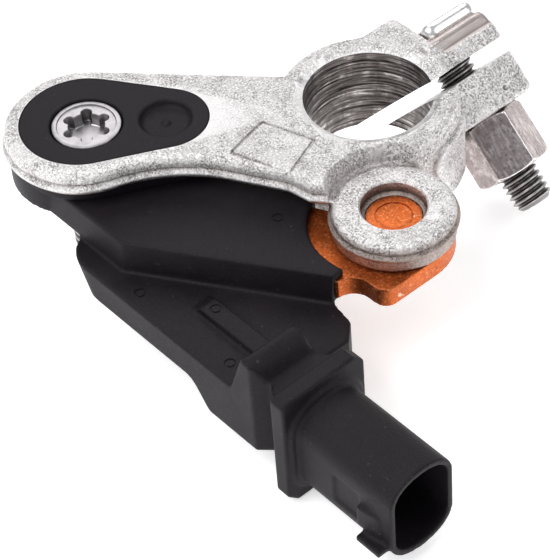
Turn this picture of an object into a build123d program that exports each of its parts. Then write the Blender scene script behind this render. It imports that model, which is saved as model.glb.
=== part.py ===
from build123d import *
import os
from math import cos, radians, sin, sqrt

os.makedirs("parts", exist_ok=True)

# Battery sensor for the negative pole, in millimetres.
# The origin is on the post bore's axis at the ring's mounting face. +Z is the way the battery post
# enters, +X points to the clamping ears, and the plug socket opens toward -Y.

# Heights, worked from the mounting face at z = 0 downward
arm_t = 4.0
boss_drop = 2.6
boss_h = 4.4
copper_t = 3.1
skin_t = 1.2
floor_t = 0.5
shelf_t = 1.0
rear_depth = 5.1
front_depth = 9.3
boss_top_z = -boss_drop
copper_top_z = boss_top_z - boss_h
copper_low_z = copper_top_z - copper_t
deck_z = copper_top_z + skin_t
ledge_z = copper_low_z - floor_t
rear_low_z = ledge_z - rear_depth
front_low_z = ledge_z - front_depth
cavity_top_z = ledge_z - shelf_t

# Post ring: a short straight land in the bore's mouth, then a taper of 1:9 on the diameter
bore_mouth_r = 9.15
bore_taper = 1 / 18
bore_land = 2.0
bore_lead_r = 10.15
bore_lead_h = 0.45
bore_foot_chamfer = 0.4
ring_r = 12.8
ring_h = 13.4
ring_foot_chamfer = 0.6
bore_foot_r = bore_mouth_r - (ring_h - bore_lead_h - bore_land) * bore_taper

# Clamping ears, slit and bolt, in a plane tilted about X
clamp_tilt = 42
slit_z = -6.8
slit_w = 2.3
bolt_out = 4.1
bolt_x = ring_r + bolt_out
bolt_r = 3.0
ear_half = 6.0
ear_root_x = ring_r - 1.4
ear_reach = 11.6
ear_tip_x = ring_r + ear_reach
ear_tip_r = 3.6
far_ear_out = 6.0
near_ear_out = 7.5
ear_hole_gap = 0.3
root_x = ring_r + 1.0
root_y = 9.6
root_low_y = 0.8
root_depth = 8.0
root_edge_r = 1.2
head_t = 2.3
head_half = 3.9
head_root_gap = 0.15
head_tip_x = ear_tip_x - 0.8
head_tip_r = 1.6
head_edge_r = 0.5
nut_af = 10.0
nut_h = 9.0
nut_turn = 30
nut_bore_gap = 0.05
nut_seat_gap = 0.03
nut_swing_gap = 0.35
nut_chamfer = 0.75
bolt_end = 22.0
bolt_end_chamfer = 0.8

# Arm with its loop, given as plan positions
loop_x = -31.85
loop_y = 23.8
loop_r = 11.2
far_edge_angle = 42.5
near_edge_angle = 252
waist_r = 22.0
waist_turn = 42.9
waist_len = 8.4
arm_root = (-18.2, -8.0)
arm_edge_r = 1.1
ridge_z = -2.2
ridge_t = 0.4
ridge_out = 0.25

# Boss that clasps the copper stub
boss_x = -11.1
boss_y = -16.8
boss_r = 8.6
boss_edge_r = 1.1
boss_hole_r = 4.57
cove_gap = 0.2
cove_lean = 0.9

# Insulating insert, pear shaped in plan
pear_big_r = 9.0
pear_shift_x = 8.55
pear_shift_y = 7.7
pear_small_x = loop_x + pear_shift_x
pear_small_y = loop_y - pear_shift_y
pear_small_r = 6.14
pear_flange = 1.0
dimple_r = 3.67
dimple_depth = 0.3
gate_r = 0.5
gate_h = 0.15

# Ground cable stud with a six-lobed recess in its head
stud_x = loop_x - 0.05
stud_y = loop_y - 0.8
stud_r = 4.0
stud_shoulder_r = 4.3
stud_head_r = 5.0
stud_head_h = 3.2
stud_head_sink = 0.1
stud_head_edge = 0.35
stud_end_z = -23.2
stud_end_chamfer = 1.2
lobe_count = 6
lobe_r = 0.85
lobe_circle_r = 2.75
recess_core_r = 2.65
recess_depth = 2.2
head_seat_gap = 0.15
stud_window_r = 7.0

# Copper bars and the measuring strip between them
strip_left_x = -32.4
strip_right_x = -17.6
strip_low_y = -2.5
strip_high_y = 3.5
strip_step = 0.25
cable_bar_left_x = -38.0
cable_bar_end_r = 7.8
cable_bar_end_y = loop_y + 1.8
cable_bar_slant_y = 7.6
cable_bar_right_x = -22.6
cable_bar_corner_y = 20.0
bar_waist = (-24.9, -14.2)
bar_front_gap = 0.3
bar_front_y = boss_y - boss_r + bar_front_gap
notch_x = -23.5
notch_y = bar_front_y + 3.2
notch_r = 2.9
bar_corner_r = 2.0
ring_gap = 0.6
stub_r = 3.9
stub_top_z = -4.6
stub_dish_r = 2.5
stub_dish = 0.15

# Upper deck of the housing, over the copper
deck_draft = 6
deck_left_x = -40.5
deck_corner_y = 5.9
deck_front = (-24.4, -18.6)
deck_front_right_x = -22.4
deck_mid = (-16.6, -3.0)
deck_side = (-17.0, 10.0)
deck_end_x = loop_x + 0.45
deck_end_y = loop_y + 2.6
deck_end_r = 10.0
deck_arc_x = boss_x - 0.4
deck_arc_y = boss_y + 1.0
deck_arc_r = boss_r + 2.2

# Electronics bay under the deck
bay_left_x = -43.9
bay_rear_y = 15.8
bay_right_x = -18.8
bay_corner_r = 5.4
bay_chamfer_y = -24.7
bay_chamfer = 2.7
bay_front_y = -25.2
bay_right_low = (-24.2, -19.4)
bay_right_nose = (-24.8, -22.8)
bay_nose_x = -27.3
bay_right_mid = (-22.0, -12.0)
bay_right_high = (-19.4, -3.0)
bay_rear_lean = 0.5
step_top_y = -11.8
step_low_y = -15.0
step_top_r = 3.0
step_low_r = 1.5
wall_t = 1.6
cover_t = 1.2
bead_w = 0.6

# Rib and hump on the bay's shelf
rib_left_x = -38.3
rib_right_x = -35.4
rib_low_y = -20.3
rib_top_y = -8.0
rib_foot_y = -6.0
rib_h = 1.2
hump_right_x = -34.6
hump_foot_x = -33.7
hump_h = 7.2
hump_back_y = -20.4
hump_ridge_y = -23.0
hump_ridge_r = 0.6
hump_brow_y = -25.2
hump_brow_drop = 0.6
hump_brow_r = 2.0
hump_front_y = -26.6

# Plug socket with flat sides, its neck and its flange
plug_x = -37.45
plug_z = -15.4
plug_mouth_y = -49.5
barrel_r = 7.45
barrel_half = 5.4
barrel_corner_r = 3.9
socket_r = 6.5
socket_half = 4.55
socket_corner_r = 3.0
socket_depth = 16.3
flange_back_y = -29.2
flange_t = 2.45
flange_w = 14.1
flange_top_z = -5.4
flange_low_z = -24.7
flange_chamfer = 0.6
flange_corner = 1.7
root_ring_w = 0.9
root_ring_t = 0.5
neck_in = 1.9
neck_right_x = -33.2
neck_top_z = -6.5
pad_depth = 0.3
pad_back_y = -38.8
pad_top_z = -13.4
pad_low_z = -18.4
latch_out = 0.7
latch_low = 0.3
latch_back_y = -43.8
latch_front_y = -47.5
latch_top_z = -14.8
latch_low_z = -18.4
guide_out = 1.8
guide_t = 0.9
guide_z = -19.3
guide_back_y = -44.7
guide_front_y = -49.0

# Contact pins in their carrier
pin_w = 1.2
pin_t = 0.8
pin_tip_t = 0.4
pin_pitch = 3.8
pin_tip_back = 8.6
pin_rise_gap = 2.6
upper_pin_rise_y = -21.4
carrier_half_x = 2.6
carrier_half_z = 3.1
carrier_back_y = -24.6

# Circuit board and what stands on it
board_gap = 0.5
board_t = 1.0
board_drop = 0.3
board_rear_y = 11.4
board_front_y = -23.4
sense_pin_tail = 0.4
package_edge = 0.1
sense_pin_r = 0.6
sense_pin_in = 1.5
sense_pin_x = -27.0
chip_w = 7.0
chip_l = 7.0
chip_h = 1.1
chip_x = -31.5
chip_y = -0.5
bus_chip_w = 4.0
bus_chip_l = 5.0
bus_chip_h = 1.1
bus_chip_x = -37.5
bus_chip_y = -9.0
diode_w = 2.6
diode_l = 4.3
diode_h = 1.1
diode_x = -33.0
diode_y = -16.0
thermistor_w = 1.25
thermistor_l = 2.0
thermistor_h = 0.6
thermistor_x = -23.2
thermistor_y = 1.0
cap_w = 1.25
cap_l = 2.0
cap_h = 0.9
cap_x = -36.5
cap_y = 6.4
cap_pitch_x = 3.0
cap_pitch_y = 3.2

# The tilted plane: its X is +X, its Y lies in the slit, and its Z runs along the bolt to the nut
clamp_axis = (0, -cos(radians(clamp_tilt)), -sin(radians(clamp_tilt)))
clamp_plane = Plane(origin=(0, 0, slit_z), x_dir=(1, 0, 0), z_dir=clamp_axis)
half_slit = slit_w / 2
nut_corner_r = nut_af / sqrt(3)

# Plan outline of the arm, with the loop's arc, the straight far edge and the curved waist
loop_centre = (loop_x, loop_y)
far_dir = (sin(radians(far_edge_angle)), -cos(radians(far_edge_angle)))
far_len = loop_y / cos(radians(far_edge_angle))
with BuildSketch() as arm_outline:
    with BuildLine():
        loop_arc = CenterArc(loop_centre, loop_r, far_edge_angle, near_edge_angle - far_edge_angle)
        waist = JernArc(loop_arc @ 1, loop_arc % 1, waist_r, -waist_turn)
        near_edge = Line(waist @ 1, (waist @ 1) + (waist % 1) * waist_len)
        far_edge = Line(loop_arc @ 0, (loop_arc @ 0) + Vector(*far_dir) * far_len)
        Polyline(near_edge @ 1, arm_root, (boss_x, boss_y), (0, 0), far_edge @ 1)
    make_face()

# Pear outline shared by the insert and by the opening in the loop
with BuildSketch() as pear_outline:
    with Locations(loop_centre):
        Circle(pear_big_r)
    with Locations((pear_small_x, pear_small_y)):
        Circle(pear_small_r)
    make_hull()

# Cast pole clamp: ring, arm with its loop, boss, root block and two ears
with BuildPart() as pole_clamp:
    with BuildSketch(Plane.XY.offset(ridge_z)):
        add(arm_outline.sketch)
    extrude(amount=-ridge_z)
    arm_top = pole_clamp.faces().sort_by(Axis.Z)[-1]
    fillet(arm_top.edges(), arm_edge_r)
    with BuildSketch(Plane.XY.offset(ridge_z - ridge_t)):
        add(arm_outline.sketch)
        offset(amount=ridge_out)
    extrude(amount=ridge_t)
    with BuildSketch(Plane.XY.offset(-arm_t)):
        add(arm_outline.sketch)
    extrude(amount=arm_t + ridge_z - ridge_t)
    with BuildSketch():
        Circle(ring_r)
    extrude(amount=-ring_h)
    ring_rims = pole_clamp.edges().filter_by(GeomType.CIRCLE).filter_by(lambda e: e.radius == ring_r)
    chamfer(ring_rims.sort_by(Axis.Z)[0], ring_foot_chamfer)
    with BuildSketch(Plane.XY.offset(-root_depth)):
        with Locations((root_x / 2, (root_y + root_low_y) / 2)):
            Rectangle(root_x, root_y - root_low_y)
    extrude(amount=root_depth)
    root_edge = pole_clamp.edges().filter_by(Axis.Z).sort_by(lambda e: -e.center().X - e.center().Y)[0]
    fillet(root_edge, root_edge_r)
    with BuildSketch(clamp_plane.offset(-far_ear_out)) as ear_profile:
        with Locations(((ear_root_x + ear_tip_x) / 2, 0)):
            Rectangle(ear_tip_x - ear_root_x, 2 * ear_half)
        fillet(ear_profile.vertices().group_by(Axis.X)[-1], ear_tip_r)
    extrude(amount=far_ear_out + near_ear_out)
    # Cove round the back of the boss, then the boss itself with its rounded top edge
    with BuildSketch(Plane.XY.offset(boss_top_z)):
        with Locations((boss_x, boss_y)):
            Circle(boss_r + cove_gap)
    with BuildSketch(Plane.XY):
        with Locations((boss_x, boss_y)):
            Circle(boss_r + cove_gap + cove_lean)
    loft(mode=Mode.SUBTRACT)
    boss_plane = Plane(origin=(boss_x, boss_y, 0), x_dir=(1, 0, 0), z_dir=(0, -1, 0))
    with BuildSketch(boss_plane):
        with BuildLine():
            Polyline(
                (0, boss_top_z),
                (0, copper_top_z),
                (boss_r, copper_top_z),
                (boss_r, boss_top_z - boss_edge_r),
            )
            RadiusArc((boss_r, boss_top_z - boss_edge_r), (boss_r - boss_edge_r, boss_top_z), -boss_edge_r)
            Line((boss_r - boss_edge_r, boss_top_z), (0, boss_top_z))
        make_face()
    revolve(axis=Axis((boss_x, boss_y, 0), (0, 0, 1)))
    # Openings: pear, stub hole, tapered bore, slit, bolt hole, and the nut's spot face
    with BuildSketch():
        add(pear_outline.sketch)
    extrude(amount=-arm_t, mode=Mode.SUBTRACT)
    with BuildSketch(Plane.XY.offset(copper_top_z)):
        with Locations((boss_x, boss_y)):
            Circle(boss_hole_r)
    extrude(amount=boss_h, mode=Mode.SUBTRACT)
    with BuildSketch(Plane.XZ):
        with BuildLine():
            Polyline(
                (0, -ring_h),
                (bore_foot_r + bore_foot_chamfer, -ring_h),
                (bore_foot_r, -ring_h + bore_foot_chamfer),
                (bore_mouth_r, -bore_lead_h - bore_land),
                (bore_mouth_r, -bore_lead_h),
                (bore_lead_r, 0),
                (bore_lead_r, ear_half),
                (0, ear_half),
                close=True,
            )
        make_face()
    revolve(axis=Axis.Z, mode=Mode.SUBTRACT)
    with BuildSketch(clamp_plane.offset(-half_slit)):
        with Locations((ear_tip_x / 2, 0)):
            Rectangle(ear_tip_x, 4 * ear_half)
    extrude(amount=slit_w, mode=Mode.SUBTRACT)
    with BuildSketch(clamp_plane.offset(-far_ear_out)):
        with Locations((bolt_x, 0)):
            Circle(bolt_r + ear_hole_gap)
    extrude(amount=far_ear_out + near_ear_out, mode=Mode.SUBTRACT)
    with BuildSketch(clamp_plane.offset(near_ear_out)):
        with Locations((bolt_x, 0)):
            Circle(nut_corner_r + nut_swing_gap)
    extrude(amount=nut_h, mode=Mode.SUBTRACT)
pole_clamp.part.label = "pole_clamp"
export_step(pole_clamp.part, "parts/pole_clamp.step")

# Bolt with a flat T-shaped head that rests on the far ear and is kept from turning by the root block
head_inner_x = root_x + head_root_gap
with BuildPart() as clamp_bolt:
    with BuildSketch(clamp_plane.offset(-far_ear_out - head_t)) as head_profile:
        with Locations(((head_inner_x + head_tip_x) / 2, 0)):
            Rectangle(head_tip_x - head_inner_x, 2 * head_half)
        fillet(head_profile.vertices().group_by(Axis.X)[-1], head_tip_r)
    extrude(amount=head_t)
    fillet(clamp_bolt.faces().sort_by(Axis(origin=(0, 0, 0), direction=clamp_axis))[0].edges(), head_edge_r)
    with BuildSketch(clamp_plane.offset(-far_ear_out)):
        with Locations((bolt_x, 0)):
            Circle(bolt_r)
    extrude(amount=far_ear_out + bolt_end)
    bolt_tip = clamp_bolt.faces().sort_by(Axis(origin=(0, 0, 0), direction=clamp_axis))[-1]
    chamfer(bolt_tip.edges(), bolt_end_chamfer)
clamp_bolt.part.label = "clamp_bolt"
export_step(clamp_bolt.part, "parts/clamp_bolt.step")

# Hexagon nut on the near ear, its corners turned down by a cone at both ends
nut_seat = near_ear_out + nut_seat_gap
nut_flat_r = nut_af / 2
nut_cone_h = (nut_corner_r - nut_flat_r) + nut_chamfer
with BuildPart() as clamp_nut:
    with BuildSketch(clamp_plane.offset(nut_seat)):
        with Locations((bolt_x, 0)):
            RegularPolygon(nut_corner_r, 6, rotation=nut_turn)
            Circle(bolt_r + nut_bore_gap, mode=Mode.SUBTRACT)
    extrude(amount=nut_h)
    with BuildSketch(Plane(origin=(bolt_x, 0, slit_z), x_dir=(1, 0, 0), z_dir=clamp_plane.y_dir)):
        with BuildLine():
            Polyline(
                (0, -nut_seat),
                (nut_flat_r, -nut_seat),
                (nut_flat_r + nut_cone_h, -nut_seat - nut_chamfer),
                (nut_flat_r + nut_cone_h, -nut_seat - nut_h + nut_chamfer),
                (nut_flat_r, -nut_seat - nut_h),
                (0, -nut_seat - nut_h),
                close=True,
            )
        make_face()
    nut_axis = Axis(origin=(bolt_x, 0, slit_z), direction=clamp_axis)
    revolve(axis=nut_axis, mode=Mode.INTERSECT)
clamp_nut.part.label = "clamp_nut"
export_step(clamp_nut.part, "parts/clamp_nut.step")

# Insulating insert: flush with the arm's top, with a flange under the arm and a moulding dimple
head_seat_z = -stud_head_sink - stud_head_h
with BuildPart() as insulating_insert:
    with BuildSketch(Plane.XY.offset(deck_z)):
        add(pear_outline.sketch)
    extrude(amount=-deck_z)
    with BuildSketch(Plane.XY.offset(deck_z)):
        add(pear_outline.sketch)
        offset(amount=pear_flange)
    extrude(amount=-arm_t - deck_z)
    with BuildSketch():
        with Locations((pear_small_x, pear_small_y)):
            Circle(dimple_r)
    extrude(amount=-dimple_depth, mode=Mode.SUBTRACT)
    with BuildSketch(Plane.XY.offset(-dimple_depth)):
        with Locations((pear_small_x, pear_small_y)):
            Circle(gate_r)
    extrude(amount=gate_h)
    with BuildSketch():
        with Locations((stud_x, stud_y)):
            Circle(stud_head_r + head_seat_gap)
    extrude(amount=head_seat_z, mode=Mode.SUBTRACT)
    with BuildSketch(Plane.XY.offset(deck_z)):
        with Locations((stud_x, stud_y)):
            Circle(stud_shoulder_r)
    extrude(amount=-deck_z, mode=Mode.SUBTRACT)
insulating_insert.part.label = "insulating_insert"
export_step(insulating_insert.part, "parts/insulating_insert.step")

# Ground cable stud, its shoulder pressed through insert, deck and copper
with BuildPart() as terminal_stud:
    with BuildSketch(Plane.XY.offset(head_seat_z)):
        with Locations((stud_x, stud_y)):
            Circle(stud_head_r)
    extrude(amount=stud_head_h)
    chamfer(terminal_stud.faces().sort_by(Axis.Z)[-1].edges(), stud_head_edge)
    with BuildSketch(Plane.XY.offset(copper_low_z)):
        with Locations((stud_x, stud_y)):
            Circle(stud_shoulder_r)
    extrude(amount=head_seat_z - copper_low_z)
    with BuildSketch(Plane.XY.offset(stud_end_z)):
        with Locations((stud_x, stud_y)):
            Circle(stud_r)
    extrude(amount=copper_low_z - stud_end_z)
    chamfer(terminal_stud.faces().sort_by(Axis.Z)[0].edges(), stud_end_chamfer)
    with BuildSketch(Plane.XY.offset(-stud_head_sink)):
        with Locations((stud_x, stud_y)):
            Circle(recess_core_r)
            with PolarLocations(lobe_circle_r, lobe_count):
                Circle(lobe_r)
    extrude(amount=-recess_depth, mode=Mode.SUBTRACT)
terminal_stud.part.label = "terminal_stud"
export_step(terminal_stud.part, "parts/terminal_stud.step")

# Copper bar under the boss, notched at its corner and cut back round the ring
with BuildSketch() as clamp_bar_outline:
    with BuildLine():
        Polyline(
            (strip_left_x, strip_low_y),
            bar_waist,
            (notch_x, notch_y + notch_r),
            (notch_x + notch_r, notch_y),
            (notch_x + notch_r, bar_front_y),
            (boss_x, bar_front_y),
            (boss_x, boss_y),
            (strip_right_x, strip_low_y),
            close=True,
        )
    make_face()
    bar_corner = clamp_bar_outline.vertices().sort_by(lambda v: v.X + v.Y)[0]
    fillet(bar_corner, bar_corner_r)
    with Locations((boss_x, boss_y)):
        Circle(boss_y - bar_front_y)
    with Locations((notch_x, notch_y)):
        Circle(notch_r, mode=Mode.SUBTRACT)
    Circle(ring_r + ring_gap, mode=Mode.SUBTRACT)
with BuildPart() as clamp_busbar:
    with BuildSketch(Plane.XY.offset(copper_low_z)):
        add(clamp_bar_outline.sketch)
    extrude(amount=copper_t)
    with BuildSketch(Plane.XY.offset(copper_top_z)):
        with Locations((boss_x, boss_y)):
            Circle(stub_r)
    extrude(amount=stub_top_z - copper_top_z)
    with BuildSketch(Plane.XY.offset(stub_top_z)):
        with Locations((boss_x, boss_y)):
            Circle(stub_dish_r)
    extrude(amount=-stub_dish, mode=Mode.SUBTRACT)
clamp_busbar.part.label = "clamp_busbar"
export_step(clamp_busbar.part, "parts/clamp_busbar.step")

# Measuring strip of resistance alloy, thinner than the bars and butted between them
with BuildPart() as shunt_strip:
    with BuildSketch(Plane.XY.offset(copper_low_z + strip_step)):
        with Locations(((strip_left_x + strip_right_x) / 2, (strip_low_y + strip_high_y) / 2)):
            Rectangle(strip_right_x - strip_left_x, strip_high_y - strip_low_y)
    extrude(amount=copper_t - 2 * strip_step)
shunt_strip.part.label = "shunt_strip"
export_step(shunt_strip.part, "parts/shunt_strip.step")

# Copper bar to the stud, rounded at its end
with BuildPart() as cable_busbar:
    with BuildSketch(Plane.XY.offset(copper_low_z)):
        with BuildLine():
            Polyline(
                (strip_left_x, strip_high_y),
                (strip_right_x, strip_high_y),
                (cable_bar_right_x, cable_bar_corner_y),
                (cable_bar_right_x, cable_bar_end_y),
                (cable_bar_left_x, cable_bar_end_y),
                (cable_bar_left_x, cable_bar_slant_y),
                close=True,
            )
        make_face()
        with Locations(((cable_bar_left_x + cable_bar_right_x) / 2, cable_bar_end_y)):
            Circle(cable_bar_end_r)
        with Locations((stud_x, stud_y)):
            Circle(stud_shoulder_r, mode=Mode.SUBTRACT)
    extrude(amount=copper_t)
cable_busbar.part.label = "cable_busbar"
export_step(cable_busbar.part, "parts/cable_busbar.step")

# Plan outline of the electronics bay at the shelf
with BuildSketch() as bay_outline:
    with BuildLine():
        Polyline(
            (bay_left_x, bay_rear_y),
            (bay_left_x, bay_chamfer_y),
            (bay_left_x + bay_chamfer, bay_chamfer_y - bay_chamfer),
            (neck_right_x, bay_chamfer_y - bay_chamfer),
            (neck_right_x, bay_front_y),
            (bay_nose_x, bay_front_y),
            bay_right_nose,
            bay_right_low,
            bay_right_mid,
            bay_right_high,
            (bay_right_x, bay_rear_y),
            close=True,
        )
    make_face()
    bay_corner = bay_outline.vertices().sort_by(lambda v: v.X - v.Y)[0]
    fillet(bay_corner, bay_corner_r)


def bay_solid(inset, top_z, lift):
    """The bay with its walls moved in by inset, its top at top_z and its stepped foot raised by lift."""
    depth = ledge_z - front_low_z + cover_t
    with BuildSketch(Plane.XY.offset(ledge_z)) as plan:
        add(bay_outline.sketch)
        if inset > 0:
            offset(amount=-inset, kind=Kind.INTERSECTION)
    with BuildPart() as bay:
        add(plan.sketch)
        extrude(amount=-depth)
        # The rear wall leans in toward its foot, as the same outline pulled down at a slant does
        with BuildSketch(Plane.XY.offset(ledge_z)):
            add(plan.sketch)
        extrude(amount=depth * sqrt(1 + bay_rear_lean**2), dir=(0, -bay_rear_lean, -1), mode=Mode.INTERSECT)
        step_top = (step_top_y, rear_low_z + lift)
        step_low = (step_low_y, front_low_z + lift)
        with BuildSketch(Plane.YZ.offset(bay_left_x)) as side:
            with BuildLine():
                Polyline(
                    (bay_rear_y, top_z),
                    (bay_rear_y, rear_low_z + lift),
                    step_top,
                    step_low,
                    (flange_back_y, front_low_z + lift),
                    (flange_back_y, top_z),
                    close=True,
                )
            make_face()
            fillet(side.vertices().sort_by_distance(step_top)[0], step_top_r)
            fillet(side.vertices().sort_by_distance(step_low)[0], step_low_r)
        extrude(amount=bay_right_x - bay_left_x, mode=Mode.INTERSECT)
    return bay.part


# Deck outline at its foot: round end, straight walls, and arcs that clear the boss and the ring
with BuildSketch() as deck_outline:
    with BuildLine():
        Polyline(
            (deck_left_x, deck_end_y),
            (deck_left_x, deck_corner_y),
            deck_front,
            (deck_front_right_x, deck_front[1]),
            (boss_x, boss_y),
            deck_mid,
            deck_side,
            (deck_end_x + deck_end_r, deck_end_y),
            close=True,
        )
    make_face()
    with Locations((deck_end_x, deck_end_y)):
        Circle(deck_end_r)
    with Locations((deck_arc_x, deck_arc_y)):
        Circle(deck_arc_r, mode=Mode.SUBTRACT)
    Circle(ring_r + ring_gap, mode=Mode.SUBTRACT)

# Hump behind the flange: a sloped back, a ridge, and a brow that falls to the neck, within the bay's outline
hump_ridge = (hump_ridge_y, ledge_z + hump_h)
hump_brow = (hump_brow_y, ledge_z + hump_h - hump_brow_drop)
with BuildPart() as hump:
    with BuildSketch(Plane.YZ.offset(bay_left_x)) as hump_side:
        with BuildLine():
            Polyline(
                (hump_back_y, ledge_z),
                hump_ridge,
                hump_brow,
                (hump_front_y, neck_top_z),
                (hump_front_y, ledge_z),
                close=True,
            )
        make_face()
        fillet(hump_side.vertices().sort_by_distance(hump_ridge)[0], hump_ridge_r)
        fillet(hump_side.vertices().sort_by_distance(hump_brow)[0], hump_brow_r)
    extrude(amount=hump_foot_x - bay_left_x)
    with BuildSketch(Plane.XZ.offset(-hump_back_y)):
        with BuildLine():
            Polyline(
                (bay_left_x, ledge_z),
                (bay_left_x, ledge_z + hump_h),
                (hump_right_x, ledge_z + hump_h),
                (hump_foot_x, ledge_z),
                close=True,
            )
        make_face()
    extrude(amount=hump_back_y - hump_front_y, mode=Mode.INTERSECT)
    with BuildSketch(Plane.XY.offset(ledge_z)):
        add(bay_outline.sketch)
    extrude(amount=hump_h, mode=Mode.INTERSECT)


def flat_sided(r, half, corner_r):
    """A circle cut by two flats, its four corners rounded."""
    with BuildSketch() as section:
        Circle(r)
        Rectangle(2 * half, 2 * r, mode=Mode.INTERSECT)
        fillet(section.vertices(), corner_r)
    return section.sketch


# Housing: deck over the copper, bay with its shelf, rib and hump, neck, flange and plug socket
carrier_front_y = plug_mouth_y + socket_depth
board_top_z = cavity_top_z - board_drop
board_low_z = board_top_z - board_t
sense_pin_ys = {
    "sense_pin_cable_side": strip_high_y + sense_pin_in,
    "sense_pin_clamp_side": strip_low_y - sense_pin_in,
}
with BuildPart() as sensor_housing:
    with BuildSketch(Plane.XY.offset(ledge_z)):
        add(deck_outline.sketch)
    extrude(amount=deck_z - ledge_z)
    flat_walls = sensor_housing.faces().filter_by(GeomType.PLANE).filter_by(Axis.Z, reverse=True)
    shown_walls = flat_walls.filter_by(lambda f: f.normal_at().X < -0.5)
    draft(shown_walls, Plane.XY.offset(ledge_z), deck_draft)
    add(bay_solid(0, ledge_z, 0))
    with BuildSketch(Plane.YZ.offset(rib_left_x)):
        with BuildLine():
            Polyline(
                (rib_low_y, ledge_z),
                (rib_low_y, ledge_z + rib_h),
                (rib_top_y, ledge_z + rib_h),
                (rib_foot_y, ledge_z),
                close=True,
            )
        make_face()
    extrude(amount=rib_right_x - rib_left_x)
    add(hump.part)
    with BuildSketch(Plane.XY.offset(neck_top_z)):
        with BuildLine():
            Polyline(
                (bay_left_x + neck_in, bay_chamfer_y - neck_in),
                (plug_x - flange_w / 2 + flange_chamfer, flange_back_y),
                (plug_x + flange_w / 2 - flange_corner, flange_back_y),
                (hump_right_x, hump_front_y),
                close=True,
            )
        make_face()
    extrude(amount=front_low_z - neck_top_z)
    with BuildSketch(Plane.XZ.offset(-flange_back_y)) as flange_profile:
        with Locations((plug_x, (flange_top_z + flange_low_z) / 2)):
            Rectangle(flange_w, flange_top_z - flange_low_z)
        corners = flange_profile.vertices().sort_by(lambda v: v.X - v.Y)
        chamfer(corners[0], flange_chamfer)
        chamfer(corners[1:], flange_corner)
    extrude(amount=flange_t)
    with BuildSketch(Plane.XZ.offset(-flange_back_y + flange_t)):
        with Locations((plug_x, plug_z)):
            add(flat_sided(barrel_r + root_ring_w, barrel_half + root_ring_w, barrel_corner_r + root_ring_w))
    extrude(amount=root_ring_t)
    with BuildSketch(Plane.XZ.offset(-flange_back_y)):
        with Locations((plug_x, plug_z)):
            add(flat_sided(barrel_r, barrel_half, barrel_corner_r))
    extrude(amount=flange_back_y - plug_mouth_y)
    # Sunk pad, latch ramp and guide tab on the barrel's outer flat
    flat_x = plug_x - barrel_half
    with BuildSketch(Plane.YZ.offset(flat_x + pad_depth)):
        with Locations(((pad_back_y + latch_back_y) / 2, (pad_top_z + pad_low_z) / 2)):
            Rectangle(pad_back_y - latch_back_y, pad_top_z - pad_low_z)
    extrude(amount=-2 * pad_depth, mode=Mode.SUBTRACT)
    with BuildSketch(Plane.XY.offset(latch_low_z)):
        with BuildLine():
            Polyline(
                (flat_x, latch_back_y),
                (flat_x - latch_out, latch_back_y),
                (flat_x - latch_low, latch_front_y),
                (flat_x, latch_front_y),
                close=True,
            )
        make_face()
    extrude(amount=latch_top_z - latch_low_z)
    with BuildSketch(Plane.XY.offset(guide_z - guide_t / 2)):
        with Locations((flat_x - guide_out / 2 + guide_t / 2, (guide_back_y + guide_front_y) / 2)):
            Rectangle(guide_out + guide_t, guide_back_y - guide_front_y)
    extrude(amount=guide_t)
    # Hollows: socket, bay, pockets for the copper, stud hole and window, pin passages
    with BuildSketch(Plane.XZ.offset(-carrier_front_y)):
        with Locations((plug_x, plug_z)):
            add(flat_sided(socket_r, socket_half, socket_corner_r))
    extrude(amount=socket_depth, mode=Mode.SUBTRACT)
    add(bay_solid(wall_t, cavity_top_z, -cover_t), mode=Mode.SUBTRACT)
    add(clamp_busbar.part, mode=Mode.SUBTRACT)
    add(shunt_strip.part, mode=Mode.SUBTRACT)
    add(cable_busbar.part, mode=Mode.SUBTRACT)
    with BuildSketch(Plane.XY.offset(ledge_z)):
        with Locations((stud_x, stud_y)):
            Circle(stud_window_r)
    extrude(amount=floor_t, mode=Mode.SUBTRACT)
    with BuildSketch(Plane.XY.offset(copper_low_z)):
        with Locations((stud_x, stud_y)):
            Circle(stud_shoulder_r)
    extrude(amount=deck_z - copper_low_z, mode=Mode.SUBTRACT)
    with BuildSketch(Plane.XY.offset(cavity_top_z)):
        with Locations(*[(sense_pin_x, y) for y in sense_pin_ys.values()]):
            Circle(sense_pin_r)
    extrude(amount=copper_low_z - cavity_top_z, mode=Mode.SUBTRACT)
    with BuildSketch(Plane.XZ.offset(-carrier_back_y)):
        with Locations((plug_x, plug_z)):
            Rectangle(2 * carrier_half_x, 2 * carrier_half_z)
    extrude(amount=carrier_back_y - carrier_front_y, mode=Mode.SUBTRACT)
sensor_housing.part.label = "sensor_housing"
export_step(sensor_housing.part, "parts/sensor_housing.step")

# Stepped cover in the bay's mouth, and the bead of sealant round it
with BuildPart() as housing_cover:
    add(bay_solid(wall_t + bead_w, ledge_z, 0))
    add(bay_solid(wall_t, ledge_z, cover_t), mode=Mode.SUBTRACT)
housing_cover.part.label = "housing_cover"
export_step(housing_cover.part, "parts/housing_cover.step")

with BuildPart() as cover_seal:
    add(bay_solid(wall_t, ledge_z, 0))
    add(bay_solid(wall_t, ledge_z, cover_t), mode=Mode.SUBTRACT)
    add(housing_cover.part, mode=Mode.SUBTRACT)
cover_seal.part.label = "cover_seal"
export_step(cover_seal.part, "parts/cover_seal.step")

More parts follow.
